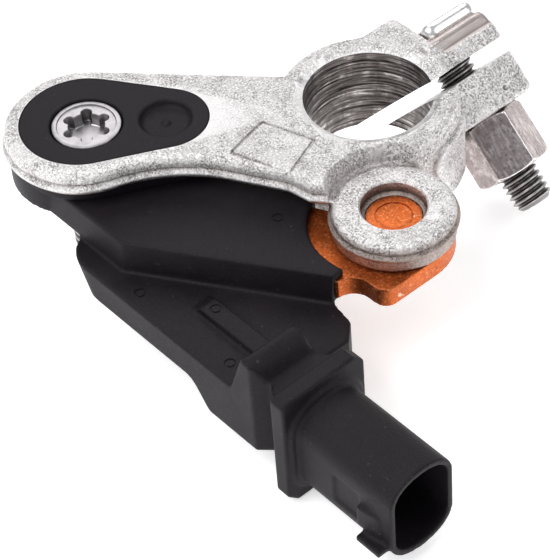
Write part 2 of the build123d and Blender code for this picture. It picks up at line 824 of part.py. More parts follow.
# Two contact pins, bent up from the socket to the board, and the block that carries them
contact_pins = {
    "supply_pin": (plug_z + pin_pitch / 2, upper_pin_rise_y),
    "data_pin": (plug_z - pin_pitch / 2, upper_pin_rise_y + pin_rise_gap),
}
pin_tip_y = plug_mouth_y + pin_tip_back
for pin_name, (pin_z, rise_y) in contact_pins.items():
    with BuildPart() as contact_pin:
        with BuildSketch(Plane.YZ.offset(plug_x - pin_w / 2)):
            with BuildLine():
                Polyline(
                    (pin_tip_y, pin_z - pin_tip_t / 2),
                    (pin_tip_y + pin_t, pin_z - pin_t / 2),
                    (rise_y + pin_t / 2, pin_z - pin_t / 2),
                    (rise_y + pin_t / 2, board_top_z),
                    (rise_y - pin_t / 2, board_top_z),
                    (rise_y - pin_t / 2, pin_z + pin_t / 2),
                    (pin_tip_y + pin_t, pin_z + pin_t / 2),
                    (pin_tip_y, pin_z + pin_tip_t / 2),
                    close=True,
                )
            make_face()
        extrude(amount=pin_w)
    contact_pin.part.label = pin_name
    export_step(contact_pin.part, f"parts/{pin_name}.step")

with BuildPart() as pin_carrier:
    with BuildSketch(Plane.XZ.offset(-carrier_back_y)):
        with Locations((plug_x, plug_z)):
            Rectangle(2 * carrier_half_x, 2 * carrier_half_z)
            with GridLocations(0, pin_pitch, 1, 2):
                Rectangle(pin_w, pin_t, mode=Mode.SUBTRACT)
    extrude(amount=carrier_back_y - carrier_front_y)
pin_carrier.part.label = "pin_carrier"
export_step(pin_carrier.part, "parts/pin_carrier.step")

# Circuit board, cut to the bay, with holes for the two contact pins and the two sense pins
with BuildPart() as circuit_board:
    with BuildSketch(Plane.XY.offset(board_low_z)):
        add(bay_outline.sketch)
        offset(amount=-wall_t - board_gap, kind=Kind.INTERSECTION)
        with Locations(((bay_left_x + bay_right_x) / 2, (board_rear_y + board_front_y) / 2)):
            Rectangle(bay_right_x - bay_left_x, board_rear_y - board_front_y, mode=Mode.INTERSECT)
        with Locations(*[(sense_pin_x, y) for y in sense_pin_ys.values()]):
            Circle(sense_pin_r, mode=Mode.SUBTRACT)
        with Locations(*[(plug_x, rise_y) for pin_z, rise_y in contact_pins.values()]):
            Rectangle(pin_w, pin_t, mode=Mode.SUBTRACT)
    extrude(amount=board_t)
circuit_board.part.label = "circuit_board"
export_step(circuit_board.part, "parts/circuit_board.step")

# Sense pins from the bars on both sides of the measuring strip down through the board
for pin_name, pin_y in sense_pin_ys.items():
    with BuildPart() as sense_pin:
        with BuildSketch(Plane.XY.offset(board_low_z - sense_pin_tail)):
            with Locations((sense_pin_x, pin_y)):
                Circle(sense_pin_r)
        extrude(amount=copper_low_z - board_low_z + sense_pin_tail)
    sense_pin.part.label = pin_name
    export_step(sense_pin.part, f"parts/{pin_name}.step")

# Components under the board: place, width, length and height of each package
packages = {
    "sensor_chip": (chip_x, chip_y, chip_w, chip_l, chip_h),
    "bus_chip": (bus_chip_x, bus_chip_y, bus_chip_w, bus_chip_l, bus_chip_h),
    "protection_diode": (diode_x, diode_y, diode_w, diode_l, diode_h),
    "thermistor": (thermistor_x, thermistor_y, thermistor_w, thermistor_l, thermistor_h),
}
for package_name, (x, y, width, length, height) in packages.items():
    with BuildPart() as package:
        with BuildSketch(Plane.XY.offset(board_low_z)):
            with Locations((x, y)):
                Rectangle(width, length)
        extrude(amount=-height)
        chamfer(package.faces().sort_by(Axis.Z)[0].edges(), package_edge)
    package.part.label = package_name
    export_step(package.part, f"parts/{package_name}.step")

with BuildPart() as filter_capacitors:
    with BuildSketch(Plane.XY.offset(board_low_z)):
        with Locations((cap_x, cap_y)):
            with GridLocations(cap_pitch_x, cap_pitch_y, 2, 2):
                Rectangle(cap_w, cap_l)
    extrude(amount=-cap_h)
filter_capacitors.part.label = "filter_capacitors"
export_step(filter_capacitors.part, "parts/filter_capacitors.step")
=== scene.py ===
from contextlib import contextmanager
from math import acos, atan2, cos, hypot, pi, radians, sin, sqrt

import bmesh
import bpy
from bpy.props import FloatProperty, FloatVectorProperty, PointerProperty
from mathutils import Matrix, Vector, noise


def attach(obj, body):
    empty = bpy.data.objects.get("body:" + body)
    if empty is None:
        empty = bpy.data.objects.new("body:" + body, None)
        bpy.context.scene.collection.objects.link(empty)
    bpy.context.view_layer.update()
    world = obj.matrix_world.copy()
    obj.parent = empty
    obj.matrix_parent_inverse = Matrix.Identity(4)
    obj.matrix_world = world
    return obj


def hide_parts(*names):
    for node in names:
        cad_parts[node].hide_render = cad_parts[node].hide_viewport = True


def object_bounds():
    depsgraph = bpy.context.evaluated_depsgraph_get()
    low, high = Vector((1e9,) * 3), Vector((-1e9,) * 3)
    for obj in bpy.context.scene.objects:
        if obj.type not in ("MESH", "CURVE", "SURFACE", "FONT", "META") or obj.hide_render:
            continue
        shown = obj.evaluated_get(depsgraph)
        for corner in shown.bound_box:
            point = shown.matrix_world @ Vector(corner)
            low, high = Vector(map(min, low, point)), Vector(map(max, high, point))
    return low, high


bl_info = {
    "name": "Battery Sensor",
    "version": (1, 0, 0),
    "blender": (4, 5, 0),
    "location": "View3D > Sidebar > Battery Sensor",
    "description": "Dresses the battery sensor's frame: castings, mouldings, bars, fasteners and stage",
    "category": "Object",
}

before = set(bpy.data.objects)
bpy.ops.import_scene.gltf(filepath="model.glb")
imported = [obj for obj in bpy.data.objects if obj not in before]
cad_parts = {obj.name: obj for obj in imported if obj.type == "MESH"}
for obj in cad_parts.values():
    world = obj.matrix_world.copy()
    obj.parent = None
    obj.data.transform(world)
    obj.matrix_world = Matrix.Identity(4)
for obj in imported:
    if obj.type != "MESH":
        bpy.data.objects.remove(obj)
CAD_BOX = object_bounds()

# Everything is shaped in millimetres in the row frame, and hand_over makes it metres
MM = 0.001

# Ring and bore
RING_R, RING_H = 12.8, 13.4
BORE_MOUTH_R, BORE_LAND, BORE_TAPER = 9.15, 2.0, 1 / 18
BORE_LEAD_R, BORE_LEAD_H = 10.15, 0.45
# The turning tool's marks start below this height and follow each other at this pitch
TURNED_TOP, TURNED_PITCH = -1.4, 0.62

# Ears, slit and root block
TILT = radians(42)
SLIT_Z, SLIT_W = -6.8, 2.3
BOLT_X = RING_R + 4.1
FAR_EAR, NEAR_EAR = 6.0, 7.5
EAR_HALF, EAR_ROOT_X, EAR_TIP_X, EAR_TIP_R = 6.0, RING_R - 1.4, RING_R + 11.6, 3.6
# The cast ears end a little short of the solid's, with a chamfer at the upper side
EAR_END_X = EAR_TIP_X - 0.65
EAR_CHAMFER = (0.95, 1.2)
# The far ear's smooth outer strip ends at this place along the bolt
STRIP_END = -3.5
ROOT_X, ROOT_Y0, ROOT_Y1, ROOT_H = RING_R + 1.0, 0.8, 9.6, 8.0

# Arm, loop, boss and pear, in plan
LOOP = Vector((-31.85, 23.8))
LOOP_R = 11.2
ARM_T = 4.0
BOSS = Vector((-11.1, -16.8))
BOSS_R, BOSS_TOP, BOSS_LOW, BOSS_HOLE_R = 8.6, -2.6, -7.0, 4.57
STUB_TOP = -4.6
PEAR_SMALL = LOOP + Vector((8.55, -7.7))
PEAR_R, PEAR_SMALL_R = 9.0, 6.14
STUD = LOOP + Vector((-0.05, -0.8))

# The bare field on the arm's top, counter-clockwise
LABEL = [(-18.4, -4.3), (-11.9, -1.8), (-14.4, 5.9), (-21.4, 4.2)]

# Levels under the arm
DECK_Z, COPPER_LOW, LEDGE_Z = -5.8, -10.1, -10.6

# Bolt, nut and threads
BOLT_HOLE_R, SPOT_FACE_R = 3.3, 6.1
HEAD_IN, HEAD_OUT, HEAD_HALF = ROOT_X + 0.15, EAR_TIP_X - 0.8, 3.9
NUT_FLATS, NUT_H, NUT_CONE, NUT_SEAT = 10.0, 9.0, 0.75, NEAR_EAR + 0.03
BOLT_THREAD = {"Radius": 2.98, "Depth": 0.58, "Pitch": 1.0, "Length": 28.4, "Plain": 5.0, "Tip": 0.8}
STUD_THREAD = {"Radius": 3.98, "Depth": 0.7, "Pitch": 1.25, "Length": 13.1, "Plain": 0.6, "Tip": 1.1}
THREAD_SIDES, THREAD_ROWS = 64, 14

# Housing: the hump behind the flange, and the faint round marks of the mould's ejectors
HUMP_BOX = ((-43.2, -26.4, -9.6), (-34.0, -20.2, -2.0))
HUMP_PASSES = 24
EJECTOR_MARKS = [
    (-21.7, -5.1, DECK_Z), (-41.5, 1.0, LEDGE_Z), (-41.2, -17.3, LEDGE_Z), (-36.8, -9.4, LEDGE_Z + 1.2),
]

# The slit's frame: x is +X, y lies in the slit, z runs along the bolt to the nut
CLAMP_FRAME = Matrix(
    (
        (1, 0, 0, 0),
        (0, -sin(TILT), -cos(TILT), 0),
        (0, cos(TILT), -sin(TILT), SLIT_Z),
        (0, 0, 0, 1),
    )
)
BOLT_FRAME = CLAMP_FRAME @ Matrix.Translation((BOLT_X, 0, 0))
# A casting pit in the near ear's upper side, which Z leaves
PIT_FRAME = CLAMP_FRAME @ Matrix.Translation((18.9, 0, 5.28)) @ Matrix.Rotation(-pi / 2, 4, "X")
AT_BOSS, AT_STUD, AT_SMALL = (Matrix.Translation((p.x, p.y, 0)) for p in (BOSS, STUD, PEAR_SMALL))

# The casting's material slots besides that of its tinned skin
BORE_SLOT, STRIP_SLOT = 1, 2

# The photograph, in pixels
PHOTO_W, PHOTO_H = 550.0, 560.0
SENSOR_WIDTH = 36.0

WHITE = (1.0, 1.0, 1.0)


# Meshes


def add_object(name, data):
    obj = bpy.data.objects.new(name, data)
    bpy.context.scene.collection.objects.link(obj)
    return obj


def mesh_object(name, verts, faces):
    mesh = bpy.data.meshes.new(name)
    mesh.from_pydata([tuple(v) for v in verts], [], faces)
    mesh.update()
    return add_object(name, mesh)


def drop(*objects):
    for obj in objects:
        mesh = obj.data
        bpy.data.objects.remove(obj)
        bpy.data.meshes.remove(mesh)


@contextmanager
def editing(mesh):
    """The mesh as a bmesh that is written back at the end."""
    bm = bmesh.new()
    bm.from_mesh(mesh)
    yield bm
    bm.to_mesh(mesh)
    bm.free()


def ring_stack(name, rings, place=None):
    """A closed solid through rings of equal count, each counter-clockwise seen from the side the stack grows to."""
    count = len(rings[0])
    verts = [Vector(p) for ring in rings for p in ring]
    faces = []
    for k in range(len(rings) - 1):
        low, high = k * count, (k + 1) * count
        for i in range(count):
            j = (i + 1) % count
            faces.append((low + i, low + j, high + j, high + i))
    faces.append(tuple(range(count - 1, -1, -1)))
    top = (len(rings) - 1) * count
    faces.append(tuple(range(top, top + count)))
    obj = mesh_object(name, verts, faces)
    if place:
        obj.data.transform(place)
    return obj


def prism(name, outline, low, high, place=None):
    return ring_stack(name, [[(x, y, z) for x, y in outline] for z in (low, high)], place)


def offset_stack(name, outline, levels, place=None):
    """A closed solid from one outline. Each level says how far it stands out and at what height, lowest first."""
    return ring_stack(name, [[(p.x, p.y, z) for p in outset(outline, out)] for out, z in levels], place)


def lathe(name, profile, steps=96, place=None, ripple=None):
    """A closed solid turned about Z from (radius, height) points, lowest first. ripple adds to a radius at an angle."""
    angles = [2 * pi * i / steps for i in range(steps)]
    rings = []
    for radius, height in profile:
        radii = [radius + (ripple(a, height) if ripple else 0) for a in angles]
        rings.append([(r * cos(a), r * sin(a), height) for r, a in zip(radii, angles)])
    return ring_stack(name, rings, place)


def box(name, low, high, place=None):
    (x0, y0, z0), (x1, y1, z1) = low, high
    return prism(name, [(x0, y0), (x1, y0), (x1, y1), (x0, y1)], z0, z1, place)


def arc(centre, radius, start, end, steps):
    """Points on an arc from start to end, in degrees."""
    angles = [radians(start + (end - start) * i / steps) for i in range(steps + 1)]
    return [(centre[0] + radius * cos(a), centre[1] + radius * sin(a)) for a in angles]


def rounded_box_outline(x0, y0, x1, y1, radii):
    """A rectangle, counter-clockwise from its lower left corner, with a radius for each corner."""
    out = []
    corners = [((x0, y0), 180), ((x1, y0), 270), ((x1, y1), 0), ((x0, y1), 90)]
    for ((x, y), start), r in zip(corners, radii):
        if r <= 0:
            out.append((x, y))
            continue
        centre = (x + (r if x == x0 else -r), y + (r if y == y0 else -r))
        out += arc(centre, r, start, start + 90, 6)
    return out


def resample(outline, spacing):
    """Points at even spacing along a closed outline."""
    points = [Vector(p) for p in outline] + [Vector(outline[0])]
    lengths = [0.0]
    for a, b in zip(points, points[1:]):
        lengths.append(lengths[-1] + (b - a).length)
    count = max(8, round(lengths[-1] / spacing))
    out, k = [], 0
    for i in range(count):
        t = lengths[-1] * i / count
        while lengths[k + 1] < t:
            k += 1
        share = (t - lengths[k]) / max(lengths[k + 1] - lengths[k], 1e-9)
        out.append(points[k].lerp(points[k + 1], share))
    return out


def outset(outline, distance):
    """The outline moved outwards by distance along its own normals."""
    out = []
    for i, p in enumerate(outline):
        along = outline[(i + 1) % len(outline)] - outline[i - 1]
        along.normalize()
        out.append(p + Vector((along.y, -along.x)) * distance)
    return out


def baked(obj):
    """Applies the object's modifiers."""
    graph = bpy.context.evaluated_depsgraph_get()
    graph.update()
    mesh = bpy.data.meshes.new_from_object(obj.evaluated_get(graph))
    old = obj.data
    name = old.name
    obj.modifiers.clear()
    obj.data = mesh
    bpy.data.meshes.remove(old)
    mesh.name = name
    return obj


def modified(obj, kind, **settings):
    """Adds a modifier with its settings and applies it."""
    mod = obj.modifiers.new(kind.lower(), kind)
    for key, value in settings.items():
        setattr(mod, key, value)
    return baked(obj)


def cut(obj, *cutters, operation="DIFFERENCE", solver="EXACT"):
    for cutter in cutters:
        modified(obj, "BOOLEAN", operation=operation, solver=solver, object=cutter)
        drop(cutter)
    if not obj.data.polygons:
        raise RuntimeError(f"{obj.name} came out empty")
    return obj


def joined(name, parts):
    """One object from several closed shells."""
    mesh = bpy.data.meshes.new(name)
    with editing(mesh) as bm:
        for part in parts:
            bm.from_mesh(part.data)
    drop(*parts)
    return add_object(name, mesh)


def rounded(obj, voxel, passes, keep=1.0):
    """Gives the object an even skin of small faces, smoothed so that every edge is rounded, and thins it."""
    modified(obj, "REMESH", mode="VOXEL", voxel_size=voxel, adaptivity=0.0)
    modified(obj, "SMOOTH", factor=0.5, iterations=passes)
    return modified(obj, "DECIMATE", ratio=keep) if keep < 1 else obj


def softened(obj, width, segments, angle):
    """Rounds the edges sharper than the angle."""
    return modified(
        obj,
        "BEVEL",
        width=width,
        segments=segments,
        limit_method="ANGLE",
        angle_limit=radians(angle),
        use_clamp_overlap=True,
        loop_slide=True,
    )


def uneven(obj, reach, depth):
    """Moves the skin in and out a little, as a casting's is."""
    with editing(obj.data) as bm:
        bm.normal_update()
        for v in bm.verts:
            v.co += v.normal * (noise.noise(v.co / reach) * depth)


def shade(obj, angle):
    """Smooth shading with edges over the angle kept sharp."""
    with editing(obj.data) as bm:
        bmesh.ops.remove_doubles(bm, verts=bm.verts, dist=1e-7)
        for face in bm.faces:
            face.smooth = True
        for edge in bm.edges:
            edge.smooth = len(edge.link_faces) == 2 and edge.calc_face_angle(0) <= radians(angle)
    modified(obj, "WEIGHTED_NORMAL", keep_sharp=True)


def copy_of_node(node, name):
    """The CAD node as one merged mesh of flat faces, in millimetres."""
    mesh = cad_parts[node].data.copy()
    with editing(mesh) as bm:
        bmesh.ops.remove_doubles(bm, verts=bm.verts, dist=2e-6)
        bmesh.ops.dissolve_limit(bm, angle_limit=radians(1.0), verts=bm.verts, edges=bm.edges)
    mesh.transform(Matrix.Scale(1 / MM, 4))
    mesh.materials.clear()
    return add_object(name, mesh)


MADE = {}


def once(make):
    """What the function makes, made only once."""
    if make not in MADE:
        MADE[make] = make()
    return MADE[make]


def dress(obj, make):
    """Gives the object the finish that make makes, and no other."""
    obj.data.materials.clear()
    obj.data.materials.append(once(make))


def hand_over(obj, name, body, make, nodes=(), angle=32):
    """Names a finished piece, makes it metres, gives it its finish and lets it ride its body."""
    obj.data.transform(Matrix.Scale(MM, 4))
    obj.name = name
    obj.data.name = name
    shade(obj, angle)
    dress(obj, make)
    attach(obj, body)
    if nodes:
        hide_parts(*nodes)
    return obj


# Node trees


class NodeTree:
    """A node tree, built node by node. A source is another node's output or a plain value."""

    def put(self, socket, source):
        if isinstance(source, bpy.types.NodeSocket):
            self.tree.links.new(source, socket)
        else:
            socket.default_value = source

    def add(self, kind, sources=None, **settings):
        node = self.tree.nodes.new(kind)
        for key, value in settings.items():
            setattr(node, key, value)
        for socket, source in (sources or {}).items():
            self.put(node.inputs[socket], source)
        return node

    def maths(self, operation, a, b=0.0):
        return self.add("ShaderNodeMath", {0: a, 1: b}, operation=operation).outputs[0]

    def span(self, source, start, end, first, last, **settings):
        """Goes from first to last as the source goes from start to end."""
        sources = {0: source, 1: start, 2: end, 3: first, 4: last}
        return self.add("ShaderNodeMapRange", sources, **settings).outputs[0]


class Finish(NodeTree):
    """A procedural finish. Keywords are fixed values of the shader, and colours are tuples."""

    def __init__(self, name, **fixed):
        self.material = bpy.data.materials.new(name)
        self.material.use_nodes = True
        self.tree = self.material.node_tree
        self.shader = self.tree.nodes["Principled BSDF"].inputs
        self.place = self.add("ShaderNodeTexCoord").outputs["Object"]
        for key, value in fixed.items():
            self.shader[key.replace("_", " ")].default_value = value

    def noise(self, per_mm, detail=3.0, roughness=0.55, place=None, distortion=0.0):
        """Noise with so many features in a millimetre."""
        sources = {
            "Vector": place or self.place,
            "Scale": per_mm / MM,
            "Detail": detail,
            "Roughness": roughness,
            "Distortion": distortion,
        }
        return self.add("ShaderNodeTexNoise", sources).outputs["Fac"]

    def stretched(self, scale, turn=(0, 0, 0)):
        """Coordinates on which a noise is drawn out."""
        return self.add("ShaderNodeMapping", {"Vector": self.place, "Scale": scale, "Rotation": turn}).outputs[0]

    def ramp(self, source, *stops):
        """Stops are (place, grey or colour)."""
        node = self.add("ShaderNodeValToRGB", {"Fac": source})
        marks = node.color_ramp.elements
        for mark, (at, value) in zip(marks, stops):
            mark.position = at
            mark.color = (*value, 1) if isinstance(value, tuple) else (value, value, value, 1)
        return node.outputs["Color"]

    def mix(self, share, a, b, blend="MIX"):
        node = self.add("ShaderNodeMix", data_type="RGBA", blend_type=blend, clamp_factor=True)
        for index, value in ((0, share), (6, a), (7, b)):
            self.put(node.inputs[index], (*value, 1) if isinstance(value, tuple) else value)
        return node.outputs[2]

    def between(self, source, first, second, low=0.3, high=0.7):
        """Goes from the first colour to the second as the source goes from low to high."""
        return self.mix(self.ramp(source, (low, 0.0), (high, 1.0)), first, second)

    def times(self, tone, other, share=1.0):
        return self.mix(share, tone, other, "MULTIPLY")

    def crevice_shade(self, reach):
        """Painted shade: 1 in the open, less in corners nearer than reach, in mm."""
        return self.add("ShaderNodeAmbientOcclusion", {"Distance": reach * MM}, samples=8).outputs["AO"]

    def bend(self):
        """The skin's own bend: half on flat skin, more on edges that stand out, less in grooves."""
        return self.add("ShaderNodeNewGeometry").outputs["Pointiness"]

    def worn_and_highlit_edges(self, low, high):
        """1 on edges that stand out, for wear and for painted highlights."""
        return self.ramp(self.bend(), (low, 0.0), (high, 1.0))

    def shaded_hollows(self, low, high, dark):
        """Painted shade: white in the open and the dark colour in grooves."""
        return self.ramp(self.bend(), (low, dark), (high, WHITE))

    def done(self, colour, rough, *layers):
        """Feeds the shader. rough is (source, least, most), and a layer (height source, strength, depth in mm)."""
        source, least, most = rough
        self.put(self.shader["Base Color"], colour)
        self.put(self.shader["Roughness"], self.ramp(source, (0.3, least), (0.7, most)))
        normal = None
        for source, strength, depth in layers:
            node = self.add("ShaderNodeBump", {"Height": source, "Strength": strength, "Distance": depth * MM})
            if normal:
                self.put(node.inputs["Normal"], normal)
            normal = node.outputs["Normal"]
        self.put(self.shader["Normal"], normal)
        return self.material


# Finishes


def tinned_casting():
    look = bpy.context.scene.sensor_look
    f = Finish("tinned_casting", Metallic=1.0)
    sand, coarse, patch = f.noise(3.0, 4.0, 0.75), f.noise(1.1, 3.0, 0.6), f.noise(0.16, 4.0, 0.6)
    tone = f.between(patch, tuple(look.casting_dark), tuple(look.casting_colour), 0.35, 0.65)
    # Painted glints: bright specks in the colour stand in for the tin's sparkle
    painted_glints = f.ramp(f.noise(2.9, 3.0, 0.7), (0.48, 0.0), (0.56, 1.0))
    tone = f.mix(painted_glints, tone, (1.0, 0.98, 0.97))
    # Pits, closer together in some places than in others
    pits = f.ramp(f.noise(3.4, 3.0, 0.7), (0.42, 0.85), (0.50, 0.0))
    places = f.ramp(f.noise(0.30, 3.0, 0.65), (0.40, 0.35), (0.58, 1.0))
    tone = f.mix(f.maths("MULTIPLY", pits, places), tone, (0.20, 0.18, 0.17))
    # Fine cracks: thin contour lines of a rough noise, in some places only
    contour = f.maths("ABSOLUTE", f.maths("SUBTRACT", f.noise(0.42, 6.0, 0.72), 0.5))
    places = f.ramp(f.noise(0.30, 2.0), (0.45, 0.0), (0.53, 1.0))
    cracks = f.maths("MULTIPLY", f.ramp(contour, (0.0, 0.95), (0.016, 0.0)), places)
    tone = f.mix(cracks, tone, (0.17, 0.15, 0.14))
    # Edges that stand out: some wear, and a painted highlight
    tone = f.mix(f.maths("MULTIPLY", f.worn_and_highlit_edges(0.515, 0.57), 0.9), tone, (1.0, 0.985, 0.975))
    # Painted shade in the grooves
    tone = f.times(tone, f.shaded_hollows(0.42, 0.49, (0.24, 0.21, 0.195)))
    # Painted shade in corners and crevices, brownish
    tone = f.times(tone, f.ramp(f.crevice_shade(1.5), (0.40, (0.26, 0.225, 0.20)), (0.82, WHITE)))
    # The arm's and the boss's lower walls near the boss are darker and browner
    at = f.add("ShaderNodeSeparateXYZ", {"Vector": f.place}).outputs
    low = f.span(at[2], -3.7 * MM, -2.85 * MM, 0.85, 0.0)
    near = f.span(f.maths("ADD", at[0], at[1]), -20 * MM, -14 * MM, 1.0, 0.0)
    tone = f.mix(f.maths("MULTIPLY", low, near), tone, f.times(tone, (0.45, 0.37, 0.33)))
    rough = (f.mix(0.5, sand, patch), look.casting_rough - 0.1, look.casting_rough + 0.12)
    return f.done(tone, rough, (sand, 0.9, 0.24), (coarse, 0.5, 0.16), (patch, 0.3, 0.12))


def smooth_casting():
    f = Finish("smooth_casting", Metallic=1.0)
    drawn = f.noise(0.8, 4.0, 0.6, f.stretched((0.25, 1.6, 1.6)))
    tone = f.between(drawn, (0.38, 0.33, 0.31), (0.50, 0.45, 0.43))
    return f.done(tone, (f.noise(1.5, 3.0), 0.30, 0.46), (f.noise(2.4, 3.0), 0.4, 0.05))


def machined_bore():
    f = Finish("machined_bore", Metallic=1.0)
    rings = f.noise(1.0, 4.0, 0.65, f.stretched((0.10, 0.10, 1.7)), 0.6)
    blotch = f.noise(0.45, 4.0, 0.65, f.stretched((1.0, 1.0, 0.6)))
    tone = f.between(rings, (0.05, 0.043, 0.04), (0.34, 0.31, 0.30), 0.38, 0.56)
    bright = f.maths("MULTIPLY", f.ramp(rings, (0.50, 0.0), (0.60, 1.0)), f.ramp(blotch, (0.47, 0.0), (0.60, 1.0)))
    tone = f.mix(bright, tone, (0.88, 0.85, 0.83))
    tone = f.times(tone, f.ramp(blotch, (0.35, 0.35), (0.6, 1.0)), 0.6)
    return f.done(tone, (blotch, 0.24, 0.44), (rings, 0.7, 0.18), (f.noise(2.5, 3.0), 0.4, 0.06))


def plated_steel():
    f = Finish("plated_steel", Metallic=1.0)
    drawn = f.noise(1.6, 4.0, 0.65)
    streak = f.noise(1.0, 3.0, 0.6, f.stretched((3.2, 0.5, 0.5), (radians(-48), 0, 0)))
    bright = tuple(bpy.context.scene.sensor_look.steel_colour)
    tone = f.between(f.noise(0.30, 4.0, 0.6), (0.36, 0.30, 0.29), bright, 0.35, 0.65)
    tone = f.mix(f.ramp(streak, (0.50, 0.0), (0.62, 0.7)), tone, (0.80, 0.73, 0.71))
    tone = f.mix(f.ramp(drawn, (0.36, 0.6), (0.46, 0.0)), tone, (0.22, 0.18, 0.175))
    # Painted highlight along the nut's edges that stand out
    tone = f.mix(f.worn_and_highlit_edges(0.51, 0.54), tone, (1.0, 0.99, 0.98))
    return f.done(tone, (drawn, 0.20, 0.36), (streak, 0.4, 0.08), (f.noise(3.0, 3.0), 0.5, 0.06))


def bright_head():
    f = Finish("bright_head", Metallic=1.0)
    tone = f.between(f.noise(0.4, 3.0), (0.92, 0.92, 0.91), WHITE)
    return f.done(tone, (f.noise(1.2, 3.0), 0.20, 0.34), (f.noise(3.0, 3.0), 0.15, 0.02))


def thread_steel():
    f = Finish("thread_steel", Metallic=1.0)
    # Painted highlight on the crests and painted shade between them
    tone = f.mix(f.worn_and_highlit_edges(0.50, 0.60), (0.21, 0.195, 0.19), (0.85, 0.83, 0.81))
    # Painted shade deep in the thread's grooves
    tone = f.times(tone, f.ramp(f.crevice_shade(0.7), (0.35, 0.25), (0.85, 1.0)))
    return f.done(tone, (f.noise(2.0, 3.0), 0.24, 0.44), (f.noise(4.0, 3.0), 0.2, 0.02))


def stud_head_steel():
    f = Finish("stud_head_steel", Metallic=1.0)
    patch = f.noise(0.6, 4.0)
    tone = f.between(patch, (0.30, 0.285, 0.29), (0.47, 0.45, 0.46), 0.35, 0.65)
    # Painted shade in the recess and round the head
    tone = f.times(tone, f.ramp(f.crevice_shade(1.5), (0.3, 0.35), (0.8, 1.0)))
    return f.done(tone, (patch, 0.32, 0.46), (f.noise(3.0, 4.0), 0.3, 0.03))


def moulded_plastic():
    look = bpy.context.scene.sensor_look
    f = Finish("moulded_plastic", Specular_IOR_Level=look.plastic_gloss)
    grain, cloud = f.noise(4.5, 4.0, 0.7), f.noise(0.12, 4.0, 0.6)
    dust = f.ramp(f.noise(1.4, 2.0, 0.5), (0.70, 0.0), (0.76, 1.0))
    base = tuple(look.plastic_colour)
    lighter = tuple(min(1, c * 1.6 + 0.002) for c in base)
    tone = f.between(cloud, base, lighter, 0.35, 0.7)
    tone = f.mix(f.ramp(grain, (0.52, 0.0), (0.66, 0.35)), tone, (0.035, 0.032, 0.035))
    tone = f.mix(f.maths("MULTIPLY", dust, 0.25), tone, (0.10, 0.10, 0.105))
    rough = (cloud, look.plastic_rough - 0.06, look.plastic_rough + 0.08)
    return f.done(tone, rough, (grain, 0.8, 0.09), (f.noise(0.9, 3.0), 0.2, 0.06))


def bare_copper():
    f = Finish("bare_copper", Metallic=1.0)
    cloud, speck = f.noise(0.25, 4.0, 0.6), f.noise(2.8, 4.0, 0.7)
    base = tuple(bpy.context.scene.sensor_look.copper_colour)
    tone = f.between(cloud, tuple(c * 0.72 for c in base), base, 0.35, 0.65)
    tone = f.mix(f.ramp(speck, (0.54, 0.0), (0.66, 0.6)), tone, (0.95, 0.42, 0.22))
    tone = f.mix(f.ramp(speck, (0.34, 0.7), (0.46, 0.0)), tone, tuple(c * 0.35 for c in base))
    # Edges that stand out: some wear, and a painted highlight
    tone = f.mix(f.maths("MULTIPLY", f.worn_and_highlit_edges(0.53, 0.62), 0.7), tone, (1.0, 0.66, 0.48))
    # Painted shade in the copper's grooves
    tone = f.times(tone, f.shaded_hollows(0.40, 0.48, (0.35, 0.25, 0.2)))
    return f.done(tone, (speck, 0.36, 0.52), (speck, 0.7, 0.10), (cloud, 0.2, 0.1))


def resistance_alloy():
    f = Finish("resistance_alloy", Metallic=1.0)
    brushed = f.noise(1.0, 4.0, 0.6, f.stretched((0.2, 3.0, 1.0)))
    return f.done(f.between(brushed, (0.40, 0.31, 0.25), (0.62, 0.50, 0.42)), (brushed, 0.3, 0.45), (brushed, 0.3, 0.03))


def sealant():
    f = Finish("sealant")
    cloud = f.noise(0.5, 4.0)
    return f.done(f.between(cloud, (0.03, 0.03, 0.033), (0.065, 0.065, 0.07)), (cloud, 0.42, 0.58), (cloud, 0.5, 0.15))


def board_laminate():
    f = Finish("board_laminate", Coat_Weight=0.4, Coat_Roughness=0.2)
    weave = f.add("ShaderNodeTexBrick", {"Vector": f.place, "Scale": 1.2 / MM, "Mortar Size": 0.03}).outputs
    cloud = f.noise(0.3, 3.0)
    tone = f.times(f.between(cloud, (0.012, 0.10, 0.04), (0.02, 0.17, 0.07)), weave["Color"], 0.15)
    return f.done(tone, (cloud, 0.3, 0.42), (weave["Fac"], 0.1, 0.02))


def chip_package():
    f = Finish("chip_package")
    grain = f.noise(5.0, 3.0)
    return f.done(f.between(grain, (0.015, 0.015, 0.016), (0.04, 0.04, 0.042)), (grain, 0.45, 0.62), (grain, 0.3, 0.02))


def ceramic_body():
    f = Finish("ceramic_body")
    grain = f.noise(2.0, 3.0)
    return f.done(f.between(grain, (0.36, 0.25, 0.16), (0.52, 0.40, 0.28)), (grain, 0.35, 0.5), (grain, 0.2, 0.02))


def tinned_pin():
    f = Finish("tinned_pin", Metallic=1.0)
    drawn = f.noise(1.5, 3.0, 0.6, f.stretched((3.0, 0.3, 3.0)))
    return f.done(f.between(drawn, (0.56, 0.55, 0.52), (0.80, 0.79, 0.76)), (drawn, 0.2, 0.36), (drawn, 0.2, 0.02))


# Geometry Nodes: a threaded shank


class Graph(NodeTree):
    """A Geometry Nodes tree."""

    def __init__(self, name):
        self.tree = bpy.data.node_groups.new(name, "GeometryNodeTree")
        self.keys = {}
        self.socket("Geometry", "NodeSocketGeometry")
        self.tree.interface.new_socket("Geometry", in_out="OUTPUT", socket_type="NodeSocketGeometry")
        self.source = self.tree.nodes.new("NodeGroupInput")
        self.sink = self.tree.nodes.new("NodeGroupOutput")

    def socket(self, name, kind, default=None):
        item = self.tree.interface.new_socket(name, in_out="INPUT", socket_type=kind)
        if default is not None:
            item.default_value = default
        self.keys[name] = item.identifier

    def run(self, name, **values):
        """A plain object made by the tree, with its named inputs set before it is first evaluated."""
        obj = mesh_object(name, [], [])
        mod = obj.modifiers.new("tree", "NODES")
        mod.node_group = self.tree
        for key, value in values.items():
            mod[self.keys[key]] = value
        return baked(obj)


